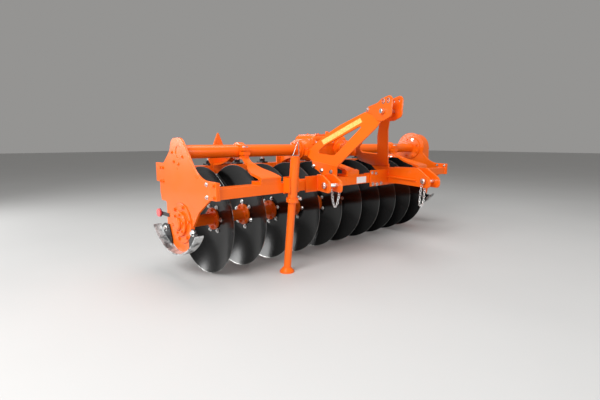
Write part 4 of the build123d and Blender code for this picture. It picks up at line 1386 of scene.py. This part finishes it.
@dataclass
class Ends(Section):
    """Bearings, drive case, skids and the side marker."""

    bearing_rings: tuple[Point, ...] = ((-6, 0.095, 0.0085), (-22, 0.053, 0.0065))
    ring_bolts: int = 6
    bearing_start: float = 0.3
    skid_bolts: tuple[Point, ...] = ((-8, -134, 272), (-8, 188, 250))
    skid_girth: float = 0.012
    lid: float = 0.010
    rim_inset: float = 0.012
    rim_steps: int = 6
    rim_girth: float = 0.0065
    cover_x: float = 2468.0
    boss_x: float = 2482.0
    boss_ring: tuple[float, int, float, float] = (0.038, 6, 0.0060, 0.26)
    plugs: tuple[Pair, ...] = ((-52.0, 606.0), (58.0, 500.0), (0.0, 228.0))
    plug_girth: float = 0.0105

    def build(self) -> None:
        """Dresses the end pieces and bolts the bearing and the skid."""
        self.dress("bearing_housing_left", "bearing_housing_right", "drive_case", "drive_case_cover")
        self.dress("depth_skid_left", "depth_skid_right", slot=Slot.BLACK, edge=0.0008,
                   finish=self.shop.palette.skid)
        self.dress("marker_bracket", slot=Slot.BLACK, edge=0.0005)
        self.dress("side_marker", slot=Slot.LENS, edge=0.002)
        seats = []
        for x, radius, girth in self.bearing_rings:
            seats += bolt_circle(gang(x, 0, AXIS_Z * 1000), -AX_X, radius, self.ring_bolts, girth,
                                 self.bearing_start)
        self.kit.bolts("bearing_bolts", seats, Slot.ORANGE)
        self.kit.bolts("skid_bolts", [Seat(gang(*p), -AX_X, self.skid_girth) for p in self.skid_bolts])
        self.case()

    def case(self) -> None:
        """Bolts on the drive case's cover and its two bosses, with plugs for filling, level and draining."""
        low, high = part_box("drive_case_cover")
        face, half, mid_y = low.x + self.lid, (high.y - low.y) / 2, (low.y + high.y) / 2
        radius, upper, lower = half - self.rim_inset, high.z - half, low.z + half
        turns = [math.pi * k / self.rim_steps for k in range(self.rim_steps + 1)]
        rim = [Vector((face, mid_y + radius * math.cos(t), centre_z + way * radius * math.sin(t)))
               for way, centre_z in ((1, upper), (-1, lower)) for t in turns]
        rim += [Vector((face, mid_y + side * radius, lower + (upper - lower) * part))
                for side in (-1, 1) for part in (1 / 3, 2 / 3)]
        seats = [Seat(p, AX_X, self.rim_girth) for p in rim]
        for y, z in ((TUBE_Y, TUBE_Z), (0.0, AXIS_Z * 1000)):
            seats += bolt_circle(gang(self.boss_x, y, z), AX_X, *self.boss_ring)
        self.kit.bolts("case_bolts", seats, Slot.ORANGE)
        plugs = [Seat(gang(self.cover_x, y, z), AX_X, self.plug_girth) for y, z in self.plugs]
        self.kit.bolts("case_plugs", plugs)


@dataclass
class ParkingStand(Section):
    """Sleeve on the beam and the leg that slides in it."""

    handle: tuple[Point, ...] = ((447, -409, 673), (452, -410, 676), (478, -418, 748), (484, -418, 748),
                                 (494, -410, 676), (496, -409, 673))
    handle_r: float = 0.0025
    handle_steps: int = 8

    def build(self) -> None:
        """Dresses the sleeve, the leg and the pin, and bends the handle."""
        self.dress("stand_sleeve", edge=0.0012)
        self.dress("stand_pin", slot=Slot.ZINC, edge=0.001)
        self.dress("stand_leg", edge=0.002, body="stand")
        line = [gang(*p) for p in self.handle]
        loop = self.shop.wire("stand_handle", line, self.handle_r, Slot.BARE, self.handle_steps)
        self.shop.fit(loop, "stand", Slot.BARE)


@dataclass
class Studio:
    """Pale floor, soft lights and the camera at the photograph's angle."""

    focal_px: float = 388.7832
    image_width: float = 600.0
    sensor: float = 36.0
    place: Point = (-973.2, -1961.0, 746.0)
    yaw: float = math.radians(43.5798)
    pitch: float = math.radians(-8.4973)
    floor_half: float = 30.0
    floor_dark: Point = (0.52, 0.52, 0.515)
    floor_light: Point = (0.56, 0.56, 0.555)
    aim: Point = (0.0, 0.0, 0.5)
    lamps: tuple[tuple[str, Point, float, float], ...] = (
        ("key", (-4.0, -1.0, 2.8), 2.6, 185.0), ("top", (0.2, 0.2, 4.6), 3.5, 105.0),
        ("front", (0.6, -4.6, 1.8), 2.4, 62.0), ("rear", (-3.2, 3.3, 1.2), 1.2, 50.0))
    sky: Point = (1.0, 0.985, 0.96)
    sky_strength: float = 0.30

    def build(self) -> None:
        """Builds floor, lights, world and camera."""
        self.floor()
        self.lights()
        self.camera()
        bpy.context.scene.view_settings.view_transform = "Standard"

    def floor(self) -> None:
        """Wide pale floor."""
        half = self.floor_half
        mesh = bpy.data.meshes.new("floor")
        mesh.from_pydata([(-half, -half, 0), (half, -half, 0), (half, half, 0), (-half, half, 0)], [],
                         [(0, 1, 2, 3)])
        floor = bpy.data.objects.new("floor", mesh)
        bpy.context.scene.collection.objects.link(floor)
        s = Shader("pale_floor")
        pale = s.mix(s.noise(1.2), self.floor_dark, self.floor_light)
        mesh.materials.append(s.wear(Base_Color=pale, Roughness=0.62))

    def lights(self) -> None:
        """Large soft lights from the upper left, above and the front, and a low one at the left rear."""
        for name, place, size, power in self.lamps:
            data = bpy.data.lights.new(name, "AREA")
            data.shape, data.size, data.energy = "DISK", size, power
            lamp = bpy.data.objects.new(name, data)
            lamp.location = place
            lamp.rotation_euler = (Vector(self.aim) - Vector(place)).to_track_quat("-Z", "Y").to_euler()
            bpy.context.scene.collection.objects.link(lamp)
        world = bpy.data.worlds.new("studio")
        world.use_nodes = True
        back = world.node_tree.nodes["Background"]
        back.inputs[0].default_value = (*self.sky, 1.0)
        back.inputs[1].default_value = self.sky_strength
        bpy.context.scene.world = world

    def camera(self) -> None:
        """Camera fitted to the photograph."""
        data = bpy.data.cameras.new("camera")
        data.sensor_width, data.sensor_fit = self.sensor, "HORIZONTAL"
        data.lens = self.focal_px / self.image_width * data.sensor_width
        cam = bpy.data.objects.new("camera", data)
        cam.location = gang(*self.place)
        cam.rotation_euler = (math.pi / 2 + self.pitch, 0.0, -self.yaw)
        bpy.context.scene.collection.objects.link(cam)
        bpy.context.scene.camera = cam


def main() -> None:
    """Builds the machine's sub-assemblies in order and then the studio."""
    logging.basicConfig(level=logging.INFO, format="%(name)s: %(message)s")
    shop = Workshop(Palette())
    kit = Hardware(shop)
    for section in (SideFrames, Gearbox, Mast, Hitch, Discs, Scrapers, Ends, ParkingStand):
        section(shop, kit).build()
        LOG.info("%s done", section.__name__)
    Studio().build()


if __name__ == "__main__":
    main()
